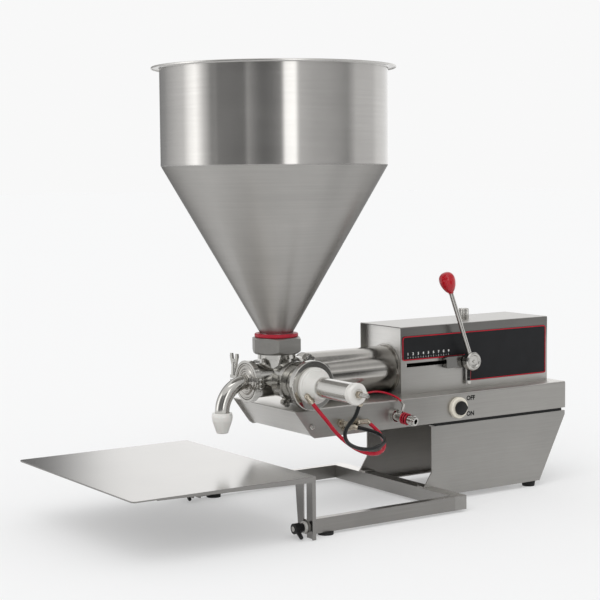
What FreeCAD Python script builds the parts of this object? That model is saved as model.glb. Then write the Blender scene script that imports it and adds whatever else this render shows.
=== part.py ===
import FreeCAD, Part
import math
import os

# Bench-top piston depositor for food: a conical hopper feeds a spool valve, an air driven
# piston measures the portion, and a swan neck spout lays it on a height-set work plate.
# Millimetres. +Z is up, +X runs to the rear of the machine and the operator stands at -Y.
# Sizes below are measured from the hopper's axis (X and Y) and from the table (Z).

Vec = FreeCAD.Vector
AXIS_X = Vec(1, 0, 0)
AXIS_Y = Vec(0, 1, 0)
AXIS_Z = Vec(0, 0, 1)

# Clearances
slide_fit = 0.05        # radial, running fits
lift_gap = 0.3          # between pieces of different bodies that face each other
seat_gap = 0.1          # radial, soft rings on their seats
part_gap = 0.5          # beside sheet edges and inserted ends

# Hopper
hopper_radius = 177.8
hopper_wall = 1.2
hopper_rim = 12.7
rim_lip = 3.0
barrel_height = 151.8
cone_height = 263.4
outlet_radius = 25.9
outlet_wall = 1.5
outlet_drop = 22.0
outlet_flange_radius = 29.5
outlet_flange_height = 3.0
gasket_radius = 34.5
gasket_height = 5.9
gasket_round = 1.9

# Union nut
nut_flats = 72.6
nut_height = 26.0
nut_chamfer = 4.5
nut_collar_radius = 30.0
nut_lip = 16.1
nut_turn = 3.0          # degrees, how far the nut is screwed round at rest

# Valve body
pipe_radius = 27.0
pipe_bore = 23.0
spool_bore = 21.0
port_radius = 12.0
neck_height = 47.0
body_front = 53.0
body_rear = 38.0
body_near = 56.0
body_far = 46.0
collar_height = 14.0
ferrule_radius = 29.0
ferrule_thickness = 3.0

# Clamps that join the pipes
clamp_depth = 9.0
clamp_wall = 4.0
clamp_split = 2.0
clamp_lug_length = 16.0
clamp_hinge_length = 8.0
clamp_lug_width = 12.0
clamp_bolt_radius = 3.0
clamp_pin_radius = 2.5
clamp_bolt_rise = 32.0
clamp_nut_flats = 11.0
clamp_nut_height = 6.0
clamp_lean = -35.0      # degrees, keeps the barrel clamp hinge clear of the tray
wing_hub_radius = 5.6
wing_hub_height = 20.0
wing_foot = 11.0
wing_span = 11.5
wing_height = 34.0
wing_thickness = 3.0

# Bonnet, actuator flange and white cap
bonnet_length = 37.0
bonnet_radius = 30.0
bonnet_waist = 25.0
actuator_radius = 38.5
actuator_thickness = 10.0
cap_radius = 28.5
cap_thickness = 7.0
cap_boss_foot = 24.5
cap_boss_radius = 17.6
cap_boss_length = 20.0

# Small air cylinder that drives the spool
air_barrel_radius = 15.6
air_barrel_wall = 1.5
air_barrel_length = 77.0
air_end_radius = 16.6
air_end_length = 13.0
air_rod_radius = 4.0
air_piston_length = 10.0
spool_stroke = 28.0
adjuster_nut = 10.0     # across flats
adjuster_nut_height = 6.0
adjuster_radius = 3.4
adjuster_length = 18.0
fitting_radius = 4.6
fitting_collar = 5.6
fitting_length = 13.0

# Product cylinder and piston
product_radius = 38.1
product_wall = 1.6
product_front = 51.0
product_throat = 12.0
product_end_wall = 3.0
piston_length = 24.0
piston_stroke = 90.0
piston_front_gap = 2.0
seal_width = 4.0
seal_depth = 3.0
piston_rod_radius = 8.0
ring_radius = 41.0
ring_thickness = 3.0
bushing_radius = 14.0
bushing_flange_radius = 18.0
bushing_length = 16.0

# Air drive cylinder inside the box
drive_cap_length = 15.0
drive_radius = 34.0
drive_wall = 2.5
drive_piston_length = 14.0
drive_piston_gap = 3.0
drive_rear_gap = 26.0
cam_radius = 13.0
cam_length = 10.0
cam_gap = 6.0
cam_end_gap = 2.0

# Spout and nozzle
spout_radius = 11.3
spout_wall = 1.2
spout_bend = 45.0
spout_dish_radius = 26.0
nozzle_top_radius = 16.2
nozzle_bottom_radius = 8.8
nozzle_bore = 6.0
nozzle_height = 32.0
nozzle_socket = 14.0

# Tray that carries the works
tray_half_width = 91.0
tray_rear = 533.8
tray_front = -27.0
tray_height = 45.6
tray_sheet = 2.0
tray_flange = 16.0
tray_round = 3.0
nose_run = 31.0         # how far the side's front edge slants back
nose_bevel = 6.0
nose_bevel_height = 4.0
nose_inset = 7.0
nose_opening = 40.0     # how far back the tray's underside starts
nose_panel_foot = 30.0

# Pedestal under the tray
pedestal_front = 241.0
pedestal_half_width = 90.0
pedestal_sheet = 2.0
pedestal_top_gap = 5.0
pedestal_bottom = 10.0
pedestal_rear_foot = 476.0
pedestal_rear_drop = 7.0
flare_run = 17.0
flare_height = 23.0
pedestal_flange = 16.0
pedestal_flange_setback = 8.0
pedestal_plate_x = 440.0
pedestal_plate_flange = 14.0

# Support frame on the table
foot_height = 4.4
foot_radius = 12.0
arm_height = 22.2
arm_width = 12.0
arm_centre = 165.0
cross_front = 223.0
cross_depth = 23.0
tube_wall = 1.5
arm_foot_x = -22.0
rear_foot_x = 464.0
rear_foot_y = 75.0

# Work plate
plate_front = -358.0
plate_rear = -57.0
plate_half_width = 191.0
plate_top = 95.7
plate_sheet = 2.0
plate_corner = 7.0
plate_lip_front = 1.0
plate_lip_rear = 7.0
plate_lip_start = -320.0
leg_top_inner = 138.0
leg_bottom_inner = 147.0
leg_outer = 191.0
leg_clear = 1.0
leg_short = 4.0
slot_width = 9.0
slot_top_drop = 8.0
stud_radius = 4.0
stud_length = 24.0

# Clamping levers on the studs
washer_radius = 9.0
washer_thickness = 4.0
knob_radius = 8.0
knob_length = 16.0
knob_neck = 6.0
lever_arm_length = 20.0
lever_arm_radius = 4.0
lever_arm_tip = 3.0
lever_arm_lean = 3.0
lever_arm_angle = 60.0

# Box that covers the drive
box_front = 204.3
box_rear = 523.4
box_half_width = 55.9
box_height = 110.8
box_sheet = 1.5
box_round = 2.0
front_panel_inset = 11.0
rear_panel_inset = 1.5
slot_front = 214.0
slot_rear = 357.5
slot_z = 224.4
slot_height = 6.4
label_sheet = 0.8
label_top = 272.5
label_strip_bottom = 232.2
label_bottom = 189.0
label_front = 206.5
label_drop = 349.0
label_rear = 519.5
label_corner = 5.0

# Portion setting block and its locking lever
block_front = 291.0
block_rear = 349.0
block_height = 19.0
block_depth = 10.0
block_forward = 73.0
block_back = 12.0
hub_x = 338.0
hub_radius = 15.6
hub_length = 15.0
lock_stud_radius = 2.9
lever_tilt = 21.0
lever_rod_radius = 3.7
lever_rod_length = 125.4
ball_radius = 13.4
ball_half_length = 19.8
pin_x = 342.0
pin_radius = 3.5
pin_drop = 32.0
sensor_height = 12.0

# Speed knob on the box
speed_x = 382.5
speed_radius = 8.7
speed_height = 18.0
speed_stem = 3.0
speed_hole = 5.0
valve_block = 22.0
valve_block_height = 18.0

# Selector on the tray's side
selector_x = 294.0
selector_z = 152.7
bezel_radius = 17.5
bezel_height = 7.0
selector_radius = 11.5
selector_height = 4.0
selector_hole = 8.0
selector_body = 24.0
selector_body_height = 26.0
selector_body_depth = 34.0
pointer_reach = 13.5
pointer_width = 5.0

# Fittings on the tray's side
elbow_x = [58.0, 86.0, 66.0]
elbow_z = [150.5, 150.0, 142.0]
elbow_stand = [16.0, 11.0, 9.0]
elbow_mouth = 6.0
elbow_reach = 40.0
elbow_radius = 4.4
elbow_hex = 12.0
elbow_hex_height = 5.0
coupler_x = 165.0
coupler_z = 152.0
coupler_radius = 7.0
coupler_length = 42.0
coupler_base_radius = 10.5
coupler_base_length = 6.0
coupler_lean = [12.0, -45.0, -7.0]
nipple_radius = 2.4
nipple_reach = 7.0
nipple_place = 10.5
ring_wire = 1.2
ring_places = [17.0, 21.0, 26.0]
nose_bolt_x = 4.5
nose_bolt_z = 149.5
bolt_radius = 3.0
bolt_head_radius = 5.0
bolt_head_height = 3.0

# Air tubes: the points that each one is led through
red_tube_radius = 3.0
black_tube_radius = 3.0
thin_tube_radius = 1.6

red_route = [
    Vec(-14, -121, 191),
    Vec(-4, -127, 176),
    Vec(7, -131, 162),
    Vec(18, -134, 146),
    Vec(32, -140, 131),
    Vec(51, -147, 116),
    Vec(76, -150, 107),
    Vec(101, -144, 108),
    Vec(115, -131, 119),
    Vec(116, -116, 133),
    Vec(106, -104, 146),
]

black_route = [
    Vec(5, -214, 196.5),
    Vec(1, -213, 182),
    Vec(-9, -206, 168.5),
    Vec(-9, -196, 154),
    Vec(2, -187, 139),
    Vec(22, -180, 128),
    Vec(49, -175, 121),
    Vec(78, -168, 122),
    Vec(100, -153, 126),
    Vec(107, -133, 132),
    Vec(99, -113, 138),
    Vec(83, -102, 142),
]

thin_route = [
    Vec(143, -47, 185),
    Vec(152, -51, 187),
    Vec(162, -59, 186.5),
    Vec(169, -70, 184),
    Vec(171.5, -83, 181),
    Vec(172, -93, 178),
    Vec(172, -99, 174),
]

# Heights and places that follow from the sizes above
arm_top = foot_height + arm_height
pedestal_kink = pedestal_sheet + arm_top + flare_height
tray_top = 176.6
tray_bottom = tray_top - tray_height
pedestal_top = tray_bottom - pedestal_top_gap
axis_z = tray_top + lift_gap + product_radius
neck_top = axis_z + neck_height
flange_bottom = neck_top + lift_gap
flange_top = flange_bottom + outlet_flange_height
cone_bottom = flange_bottom + outlet_drop + outlet_flange_height + 1.0
cone_top = cone_bottom + cone_height
hopper_top = cone_top + barrel_height
nut_under_lip = flange_top + lift_gap
nut_top = nut_under_lip + nut_lip
nut_bottom = nut_top - nut_height
ferrule_outer = max(ferrule_radius, pipe_radius + 2.0)
clamp_radius = ferrule_outer + clamp_wall
bonnet_start = -(body_near + lift_gap)
bonnet_end = bonnet_start - bonnet_length
flange_end = bonnet_end - actuator_thickness
cap_end = flange_end - cap_thickness
boss_end = cap_end - cap_boss_length
air_end = boss_end - air_barrel_length
end_cap_end = air_end - air_end_length
product_rear = box_front + front_panel_inset - lift_gap
panel_x = box_front + front_panel_inset
box_top = tray_top + box_height
stud_z = foot_height + arm_height / 2
cap_bore = air_barrel_radius - air_barrel_wall
piston_front = product_front + product_end_wall + piston_front_gap
cam_start = panel_x + box_sheet + bushing_length / 2 + cam_gap
drive_front = cam_start + cam_length + piston_stroke + cam_end_gap
drive_bore_length = drive_piston_gap + drive_piston_length + piston_stroke + drive_rear_gap
drive_bore_front = drive_front + drive_cap_length
drive_bore_rear = drive_bore_front + drive_bore_length
drive_piston_front = drive_bore_front + drive_piston_gap
drive_axis = Vec(0, 0, axis_z)
spout_face = -(body_front + lift_gap)
spout_start = spout_face - ferrule_thickness
spout_end_z = axis_z - spout_bend
nozzle_x = spout_start - spout_bend

# The origin is the middle of the machine's footprint, at the table
machine_near = end_cap_end - adjuster_nut_height - adjuster_length
origin = Vec((plate_front + tray_rear) / 2, (machine_near + plate_half_width) / 2, 0)

# Helpers


def block(x0, x1, y0, y1, z0, z1):
    """A box between two opposite corners."""
    return Part.makeBox(x1 - x0, y1 - y0, z1 - z0, Vec(x0, y0, z0))


def bar(radius, start, end):
    """A round bar from one point to another."""
    return Part.makeCylinder(radius, (end - start).Length, start, end - start)


def taper(radius_a, radius_b, start, end):
    """A cone frustum from one point to another."""
    return Part.makeCone(radius_a, radius_b, (end - start).Length, start, end - start)


def tube(outer, inner, start, end):
    """A straight tube from one point to another."""
    return bar(outer, start, end).cut(bar(inner, start, end))


def on_x(x, y=0.0, z=axis_z):
    """A point on the product axis, or beside it."""
    return Vec(x, y, z)


def on_y(y, x=0.0, z=axis_z):
    """A point on the valve spool's axis, or beside it."""
    return Vec(x, y, z)


def on_z(z, x=0.0, y=0.0):
    """A point on the hopper's axis, or beside it."""
    return Vec(x, y, z)


def plate_from(points, thickness):
    """A flat closed outline pushed along a vector."""
    face = Part.Face(Part.makePolygon(points + [points[0]]))
    return face.extrude(thickness)


def turned(points, centre, axis, degrees=360):
    """A closed outline turned about an axis."""
    face = Part.Face(Part.makePolygon(points + [points[0]]))
    return face.revolve(centre, axis, degrees)


def joined(shapes):
    """Several solids fused into one, with the seams removed."""
    result = shapes[0]
    for shape in shapes[1:]:
        result = result.fuse(shape)
    return result.removeSplitter()


def cut_all(shape, tools):
    """A solid less several others."""
    for tool in tools:
        shape = shape.cut(tool)
    return shape


def group(shapes):
    """Separate solids that share one file."""
    return Part.makeCompound([solid for shape in shapes for solid in shape.Solids])


def both_sides(shape):
    """A solid and its mirror image across the machine's middle plane."""
    return [shape, shape.mirror(Vec(0, 0, 0), AXIS_Y)]


def hexagon(flats, height, base, axis, turn=0.0):
    """A hexagonal prism, its flats at the given distance."""
    corner = flats / math.sqrt(3)
    angles = [math.radians(60 * k + turn) for k in range(6)]
    points = [Vec(corner * math.cos(angle), corner * math.sin(angle), 0) for angle in angles]
    prism = plate_from(points, Vec(0, 0, height))
    prism.Placement = FreeCAD.Placement(base, FreeCAD.Rotation(AXIS_Z, axis))
    return prism


def corner_edges(shape, test):
    """The edges whose middle passes a test."""
    return [edge for edge in shape.Edges if test(edge.CenterOfMass, edge)]


def along(edge, axis):
    """Whether a straight edge runs along an axis."""
    direction = edge.Vertexes[-1].Point - edge.Vertexes[0].Point
    return direction.Length > 1e-6 and abs(direction.normalize().dot(axis)) > 0.999


def save(name, shape):
    """Write one sub-part, moved to the machine's own origin."""
    shape = shape.copy()
    shape.translate(origin * -1)
    shape.exportStep("parts/" + name + ".step")


# Hopper, its gasket and the union nut


def hopper_slope():
    """The angle that the cone's wall makes with the hopper's axis."""
    return math.atan2(hopper_radius - outlet_radius, cone_height)


def make_hopper_barrel():
    """The rolled barrel with its turned-out rim, welded to the cone at its foot."""
    wall = hopper_wall
    slope = hopper_slope()
    rim = hopper_radius + hopper_rim
    knee = cone_top + (wall / math.cos(slope) - wall) / math.tan(slope)
    outline = [
        Vec(hopper_radius, 0, hopper_top - wall),
        Vec(rim - wall, 0, hopper_top - wall),
        Vec(rim - wall, 0, hopper_top - rim_lip),
        Vec(rim, 0, hopper_top - rim_lip),
        Vec(rim, 0, hopper_top),
        Vec(hopper_radius - wall, 0, hopper_top),
        Vec(hopper_radius - wall, 0, knee),
        Vec(hopper_radius - wall / math.cos(slope), 0, cone_top),
        Vec(hopper_radius, 0, cone_top),
    ]
    return turned(outline, Vec(0, 0, 0), AXIS_Z)


def make_hopper_cone():
    """The cone between the barrel and the outlet."""
    thick = hopper_wall / math.cos(hopper_slope())
    outline = [
        Vec(hopper_radius, 0, cone_top),
        Vec(hopper_radius - thick, 0, cone_top),
        Vec(outlet_radius - thick, 0, cone_bottom),
        Vec(outlet_radius, 0, cone_bottom),
    ]
    return turned(outline, Vec(0, 0, 0), AXIS_Z)


def make_hopper_outlet():
    """The outlet tube with the flange that the union nut draws down."""
    bore = outlet_radius - outlet_wall
    outline = [
        Vec(outlet_radius, 0, cone_bottom),
        Vec(bore, 0, cone_bottom),
        Vec(bore, 0, flange_bottom),
        Vec(outlet_flange_radius, 0, flange_bottom),
        Vec(outlet_flange_radius, 0, flange_top),
        Vec(outlet_radius, 0, flange_top),
    ]
    return turned(outline, Vec(0, 0, 0), AXIS_Z)


def make_gasket():
    """The rounded ring between the nut and the cone."""
    inner = outlet_radius + seat_gap
    bottom = nut_top + lift_gap
    top = min(bottom + gasket_height, cone_bottom)
    ring = tube(gasket_radius, inner, on_z(bottom), on_z(top))
    edges = corner_edges(ring, lambda point, edge: edge.BoundBox.XLength > gasket_radius * 1.9)
    return ring.makeFillet(min(gasket_round, gasket_height / 3), edges)


def make_union_nut():
    """The hexagon nut that draws the hopper's flange down on the valve's neck."""
    nut = hexagon(nut_flats, nut_height, on_z(nut_bottom), AXIS_Z, nut_turn)
    corner = nut_flats / math.sqrt(3)
    inside = nut_flats / 2
    bottom_trim = taper(inside - 2.0, corner + 1.0, on_z(nut_bottom), on_z(nut_bottom + nut_chamfer + 2.0))
    middle_trim = bar(corner + 1.0, on_z(nut_bottom + nut_chamfer + 2.0), on_z(nut_top - 3.0))
    top_trim = taper(corner + 1.0, inside - 0.5, on_z(nut_top - 3.0), on_z(nut_top))
    nut = nut.common(joined([bottom_trim, middle_trim, top_trim]))
    bore = bar(outlet_radius + lift_gap, on_z(nut_bottom - 1), on_z(nut_top + 1))
    pocket = bar(nut_collar_radius + lift_gap, on_z(nut_bottom - 1), on_z(nut_under_lip))
    return cut_all(nut, [bore, pocket])


# Valve body and what is clamped to it


def ferrule(base, direction):
    """A clamping flange at a pipe's end, its face at the base point."""
    unit = Vec(direction)
    unit.normalize()
    back = base - unit * ferrule_thickness
    blend = back - unit * 2.0
    return joined([bar(ferrule_outer, back, base), taper(pipe_radius, ferrule_outer, blend, back)])


def make_valve_body():
    """The cross of equal pipes, bored for the spool."""
    near = on_y(-body_near)
    far = on_y(body_far)
    front = on_x(-body_front)
    rear = on_x(body_rear)
    top = on_z(neck_top)
    outside = joined([
        bar(pipe_radius, near, far),
        bar(pipe_radius, on_x(0), front),
        bar(pipe_radius, on_x(0), rear),
        bar(pipe_radius, on_x(0), top),
        bar(nut_collar_radius, on_z(neck_top - collar_height), top),
        ferrule(near, AXIS_Y * -1),
        ferrule(front, AXIS_X * -1),
        ferrule(rear, AXIS_X),
    ])
    wall = spool_bore + 3.0
    bores = [
        bar(spool_bore, near, far),
        bar(port_radius, front, rear),
        bar(port_radius, on_x(0), top),
        bar(pipe_bore, on_x(-wall), front),
        bar(pipe_bore, on_x(wall), rear),
        bar(pipe_bore, on_z(axis_z + wall), top),
    ]
    return cut_all(outside, bores)


def make_barrel_end_cap():
    """The plug that closes the far end of the spool's bore, with a vent."""
    start = body_far + part_gap
    rim = bar(pipe_radius, on_y(start), on_y(start + 5.0))
    spigot = bar(spool_bore - slide_fit, on_y(start - 4.0), on_y(start))
    grip = hexagon(24.0, 6.0, on_y(start + 5.0), AXIS_Y)
    vent = bar(2.0, on_y(start - 5.0), on_y(start + 12.0))
    return joined([rim, spigot, grip]).cut(vent)


def clamp_frame(centre, axis, up):
    """The placement of a clamp: its pipe along an axis, its bolt side up."""
    side = up.cross(axis)
    return FreeCAD.Placement(centre, FreeCAD.Rotation(axis, side, up, "XYZ"))


def make_clamp(centre, axis, up, with_nut):
    """Two half rings round a pair of ferrules, hinged on one side, with a closing bolt."""
    inner = ferrule_outer + seat_gap
    half = clamp_depth / 2
    inside = clamp_radius - 2.0
    lug_half = clamp_lug_width / 2
    ring = tube(clamp_radius, inner, Vec(-half, 0, 0), Vec(half, 0, 0))
    lug = block(-half + 1, half - 1, inside, clamp_radius + clamp_lug_length, -lug_half, lug_half)
    hinge = block(-half + 1, half - 1, -clamp_radius - clamp_hinge_length, -inside, -lug_half, lug_half)
    body = joined([ring, lug, hinge])
    reach = clamp_radius + clamp_lug_length + 1
    split = block(-half - 1, half + 1, -reach, reach, -clamp_split / 2, clamp_split / 2)
    bolt_y = clamp_radius + clamp_lug_length / 2
    pin_y = -clamp_radius - clamp_hinge_length / 2
    hole = bar(clamp_bolt_radius + seat_gap, Vec(0, bolt_y, -lug_half - 1), Vec(0, bolt_y, lug_half + 1))
    pin_hole = bar(clamp_pin_radius + seat_gap, Vec(0, pin_y, -lug_half - 1), Vec(0, pin_y, lug_half + 1))
    halves = cut_all(body, [split, hole, pin_hole])
    head = bar(clamp_bolt_radius + 2.0, Vec(0, bolt_y, -lug_half - 4.0), Vec(0, bolt_y, -lug_half))
    stem = bar(clamp_bolt_radius, Vec(0, bolt_y, -lug_half), Vec(0, bolt_y, clamp_bolt_rise))
    pin = bar(clamp_pin_radius, Vec(0, pin_y, -lug_half - 2.0), Vec(0, pin_y, lug_half + 2.0))
    pieces = [halves, head.fuse(stem), pin]
    if with_nut:
        nut = hexagon(clamp_nut_flats, clamp_nut_height, Vec(0, bolt_y, lug_half), AXIS_Z)
        hole = bar(clamp_bolt_radius, Vec(0, bolt_y, 0), Vec(0, bolt_y, clamp_bolt_rise))
        pieces.append(nut.cut(hole))
    whole = group(pieces)
    whole.Placement = clamp_frame(centre, axis, up)
    return whole


def make_wing_nut(centre, axis, up):
    """The long wing nut on a clamp's closing bolt."""
    bolt_y = clamp_radius + clamp_lug_length / 2
    base = clamp_lug_width / 2 + lift_gap
    hub_top = base + wing_hub_height
    hub = taper(wing_hub_radius, wing_hub_radius - 1.0, Vec(0, bolt_y, base), Vec(0, bolt_y, hub_top))
    half = wing_thickness / 2
    wing = plate_from([
        Vec(-half, bolt_y + 2.0, base + wing_foot),
        Vec(-half, bolt_y + wing_hub_radius, base + wing_foot),
        Vec(-half, bolt_y + wing_span, base + wing_height - 5.0),
        Vec(-half, bolt_y + wing_span - 1.0, base + wing_height),
        Vec(-half, bolt_y + wing_span - 6.0, base + wing_height),
        Vec(-half, bolt_y + 2.0, base + wing_hub_height - 1.0),
    ], Vec(wing_thickness, 0, 0))
    other = wing.copy()
    other.rotate(Vec(0, bolt_y, 0), AXIS_Z, 180)
    bore_top = base + wing_height + 1
    bore = bar(clamp_bolt_radius + slide_fit, Vec(0, bolt_y, base - 1), Vec(0, bolt_y, bore_top))
    nut = joined([hub, wing, other]).cut(bore)
    nut.Placement = clamp_frame(centre, axis, up)
    return nut


def leaning(degrees):
    """The bolt's direction on a clamp round a pipe along Y, leaned toward the spout."""
    lean = math.radians(degrees)
    return Vec(math.cos(lean), 0, math.sin(lean))


spout_clamp_at = (on_x(spout_face + lift_gap / 2), AXIS_X, AXIS_Z)
barrel_clamp_at = (on_y(bonnet_start + lift_gap / 2), AXIS_Y, leaning(clamp_lean))
cylinder_clamp_at = (on_x(body_rear + lift_gap / 2), AXIS_X, AXIS_Z)


def make_bonnet():
    """The spacer between the valve's barrel and the actuator, with the rod's bore."""
    start = on_y(bonnet_start)
    back = on_y(bonnet_start - ferrule_thickness)
    flare = on_y(bonnet_end + 9.0)
    body = joined([
        bar(ferrule_outer, start, back),
        bar(bonnet_waist, back, on_y(bonnet_end)),
        bar(bonnet_radius, flare, on_y(bonnet_end)),
    ])
    bore = bar(air_rod_radius + slide_fit, start, on_y(bonnet_end))
    room = bar(spool_bore - 2.0, start, on_y(bonnet_start - 3.0))
    return cut_all(body, [bore, room])


def make_actuator_flange():
    """The steel ring that carries the white cap."""
    ring = tube(actuator_radius, air_rod_radius + 2.0, on_y(bonnet_end), on_y(flange_end))
    edges = corner_edges(ring, lambda point, edge: edge.BoundBox.XLength > actuator_radius * 1.9)
    return ring.makeFillet(1.2, edges)


def make_actuator_cap():
    """The white moulded cap, stepped and coned down to the air cylinder."""
    cap = joined([
        bar(cap_radius, on_y(flange_end), on_y(cap_end)),
        taper(cap_boss_foot, cap_boss_radius, on_y(cap_end), on_y(boss_end)),
    ])
    return cap.cut(bar(air_rod_radius + slide_fit, on_y(flange_end), on_y(boss_end)))


def make_air_barrel():
    """The small cylinder's stainless tube."""
    return tube(air_barrel_radius, cap_bore, on_y(boss_end), on_y(air_end))


def make_air_end_cap():
    """The small cylinder's end, with the stroke adjuster and its lock nut."""
    cap = bar(air_end_radius, on_y(air_end), on_y(end_cap_end))
    edges = corner_edges(cap, lambda point, edge: edge.BoundBox.XLength > air_end_radius * 1.9)
    cap = cap.makeChamfer(2.0, edges)
    thread = bar(adjuster_radius, on_y(air_end - 4.0), on_y(end_cap_end))
    nut_end = end_cap_end - adjuster_nut_height
    nut = hexagon(adjuster_nut, adjuster_nut_height, on_y(end_cap_end), AXIS_Y * -1)
    nut = nut.cut(bar(adjuster_radius, on_y(end_cap_end + 1), on_y(nut_end - 1)))
    screw = bar(adjuster_radius, on_y(air_end - 4.0), on_y(nut_end - adjuster_length))
    return group([cap.cut(thread), nut, screw])


def fitting_mouth(route):
    """A push-in fitting's barrel and collar, in line with the start of a tube."""
    mouth = route[0]
    toward = (route[1] - mouth).normalize()
    back = mouth - toward * fitting_length
    barrel = bar(fitting_radius, back, mouth)
    collar = bar(fitting_collar, mouth - toward * 5.0, mouth - toward * 2.0)
    return [barrel, collar], back


def make_air_fittings(actuator_cap, air_end_cap):
    """The push-in fittings on the small air cylinder, and the thin tube's elbow on the tray."""
    front, corner = fitting_mouth(red_route)
    root = Vec(corner.x * 0.5, cap_end + 1.5, axis_z + (corner.z - axis_z) * 0.5)
    front = joined(front + [Part.makeSphere(fitting_radius, corner), bar(fitting_radius, root, corner)])
    rear, corner = fitting_mouth(black_route)
    rear = joined(rear)
    start = thin_route[0]
    back = start - (thin_route[1] - start).normalize() * fitting_length * 0.5
    elbow = joined([
        bar(thin_tube_radius + 1.2, back, start),
        Part.makeSphere(thin_tube_radius + 1.2, back),
        bar(thin_tube_radius + 1.2, Vec(back.x, back.y, tray_top), back),
    ])
    return group([front.cut(actuator_cap), rear.cut(air_end_cap), elbow])


def make_spool():
    """The sliding spool: an elbow port for filling and a through port for dosing."""
    radius = spool_bore - slide_fit
    near = -(body_near - 2.0)
    far = body_far - 4.0 - part_gap - spool_stroke
    body = bar(radius, on_y(near), on_y(far))
    fill = joined([
        bar(port_radius, on_y(0), Vec(0, 0, axis_z + spool_bore + 1)),
        bar(port_radius, on_y(0), Vec(spool_bore + 1, 0, axis_z)),
        Part.makeSphere(port_radius, on_y(0)),
    ])
    side = spool_bore + 1
    through = bar(port_radius, Vec(-side, -spool_stroke, axis_z), Vec(side, -spool_stroke, axis_z))
    return cut_all(body, [fill, through])


def make_spool_rod():
    """The rod from the spool to the small air piston."""
    near = -(body_near - 2.0)
    piston_rear = air_end + 6.0
    piston_front_y = piston_rear + air_piston_length
    rod = bar(air_rod_radius, on_y(near), on_y(piston_front_y))
    piston = bar(cap_bore - slide_fit, on_y(piston_rear), on_y(piston_front_y))
    return joined([rod, piston])


# Product cylinder and its piston


def make_product_cylinder():
    """The measuring cylinder, its front stepped down to the valve's rear port."""
    face = body_rear + lift_gap
    back = face + ferrule_thickness
    throat = joined([
        bar(ferrule_outer, on_x(face), on_x(back)),
        bar(pipe_radius, on_x(back), on_x(product_front)),
        bar(product_radius, on_x(product_front), on_x(product_rear)),
    ])
    bores = [
        bar(product_throat, on_x(face), on_x(product_front + product_end_wall)),
        bar(product_radius - product_wall, on_x(product_front + product_end_wall), on_x(product_rear)),
    ]
    return cut_all(throat, bores)


def make_cylinder_ring():
    """The collar that holds the cylinder to the box's front panel."""
    start = product_rear - ring_thickness
    ring = tube(ring_radius, product_radius + seat_gap, on_x(start), on_x(product_rear))
    below = block(start - 1, product_rear + 1, -ring_radius, ring_radius, axis_z - ring_radius - 1, tray_top)
    return ring.cut(below)


def seal_places():
    """Where the piston's two seals start."""
    return [piston_front + 3.0, piston_front + piston_length - 3.0 - seal_width]


def make_product_piston():
    """The measuring piston, grooved for two seals."""
    radius = product_radius - product_wall - slide_fit
    rear = piston_front + piston_length
    body = bar(radius, on_x(piston_front), on_x(rear))
    grooves = [tube(radius + 1, radius - seal_depth, on_x(x), on_x(x + seal_width)) for x in seal_places()]
    screw_hole = bar(piston_rod_radius, on_x(rear - piston_length / 2), on_x(rear))
    return cut_all(body, grooves + [screw_hole])


def make_piston_seals():
    """The two seals in the piston's grooves."""
    radius = product_radius - product_wall - slide_fit
    rings = [tube(radius, radius - seal_depth, on_x(x), on_x(x + seal_width)) for x in seal_places()]
    return group(rings)


def make_piston_rod():
    """The rod between the measuring piston and the drive piston."""
    start = piston_front + piston_length / 2
    return bar(piston_rod_radius, on_x(start), on_x(drive_piston_front + drive_piston_length))


def make_drive_piston():
    """The drive piston and the cam that trips the portion sensor."""
    inner = piston_rod_radius
    radius = drive_radius - drive_wall - slide_fit
    piston = tube(radius, inner, on_x(drive_piston_front), on_x(drive_piston_front + drive_piston_length))
    cam = tube(cam_radius, inner, on_x(cam_start), on_x(cam_start + cam_length))
    return group([piston, cam])


def make_rod_bushing():
    """The guide bushing in the box's front panel."""
    start = panel_x - lift_gap
    end = panel_x + box_sheet + bushing_length / 2
    body = joined([
        bar(bushing_radius, on_x(start - 4.0), on_x(end)),
        bar(bushing_flange_radius, on_x(panel_x + box_sheet), on_x(panel_x + box_sheet + 4.0)),
    ])
    return body.cut(bar(piston_rod_radius + slide_fit, on_x(start - 5.0), on_x(end + 1)))


def make_drive_cylinder():
    """The drive cylinder's tube."""
    return tube(drive_radius, drive_radius - drive_wall, on_x(drive_bore_front), on_x(drive_bore_rear))


def make_drive_caps():
    """The drive cylinder's square end caps, standing on the tray."""
    half = drive_radius + 2.0
    caps = []
    for start in (drive_front, drive_bore_rear):
        cap = block(start, start + drive_cap_length, -half, half, tray_top, axis_z + half)
        caps.append(cap)
    rod_bore = bar(piston_rod_radius + slide_fit, on_x(drive_front - 1), on_x(drive_bore_front + 1))
    return group([caps[0].cut(rod_bore), caps[1]])


# Spout and nozzle


def make_spout():
    """The swan neck spout with its clamping dish."""
    start = on_x(spout_start)
    centre = Vec(spout_start, 0, axis_z - spout_bend)
    middle = centre + Vec(-1, 0, 1).normalize() * spout_bend
    end = Vec(spout_start - spout_bend, 0, centre.z)
    tip = end - AXIS_Z * (nozzle_socket - 2.0)
    arc = Part.Arc(start, middle, end).toShape()
    line = Part.LineSegment(end, tip).toShape()
    path = Part.Wire([arc, line])

    def swept(radius):
        ring = Part.Wire([Part.Circle(start, AXIS_X, radius).toShape()])
        return path.makePipeShell([ring], True, True)

    dish = bar(ferrule_outer, on_x(spout_face), start)
    inside = bar(spout_dish_radius - 4.0, on_x(spout_face), on_x(spout_face - 1.2))
    outside = joined([dish, swept(spout_radius)])
    passage = swept(spout_radius - spout_wall)
    mouth = bar(spout_radius - spout_wall, on_x(spout_face + 1), start)
    return cut_all(outside, [passage, mouth, inside])


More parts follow.
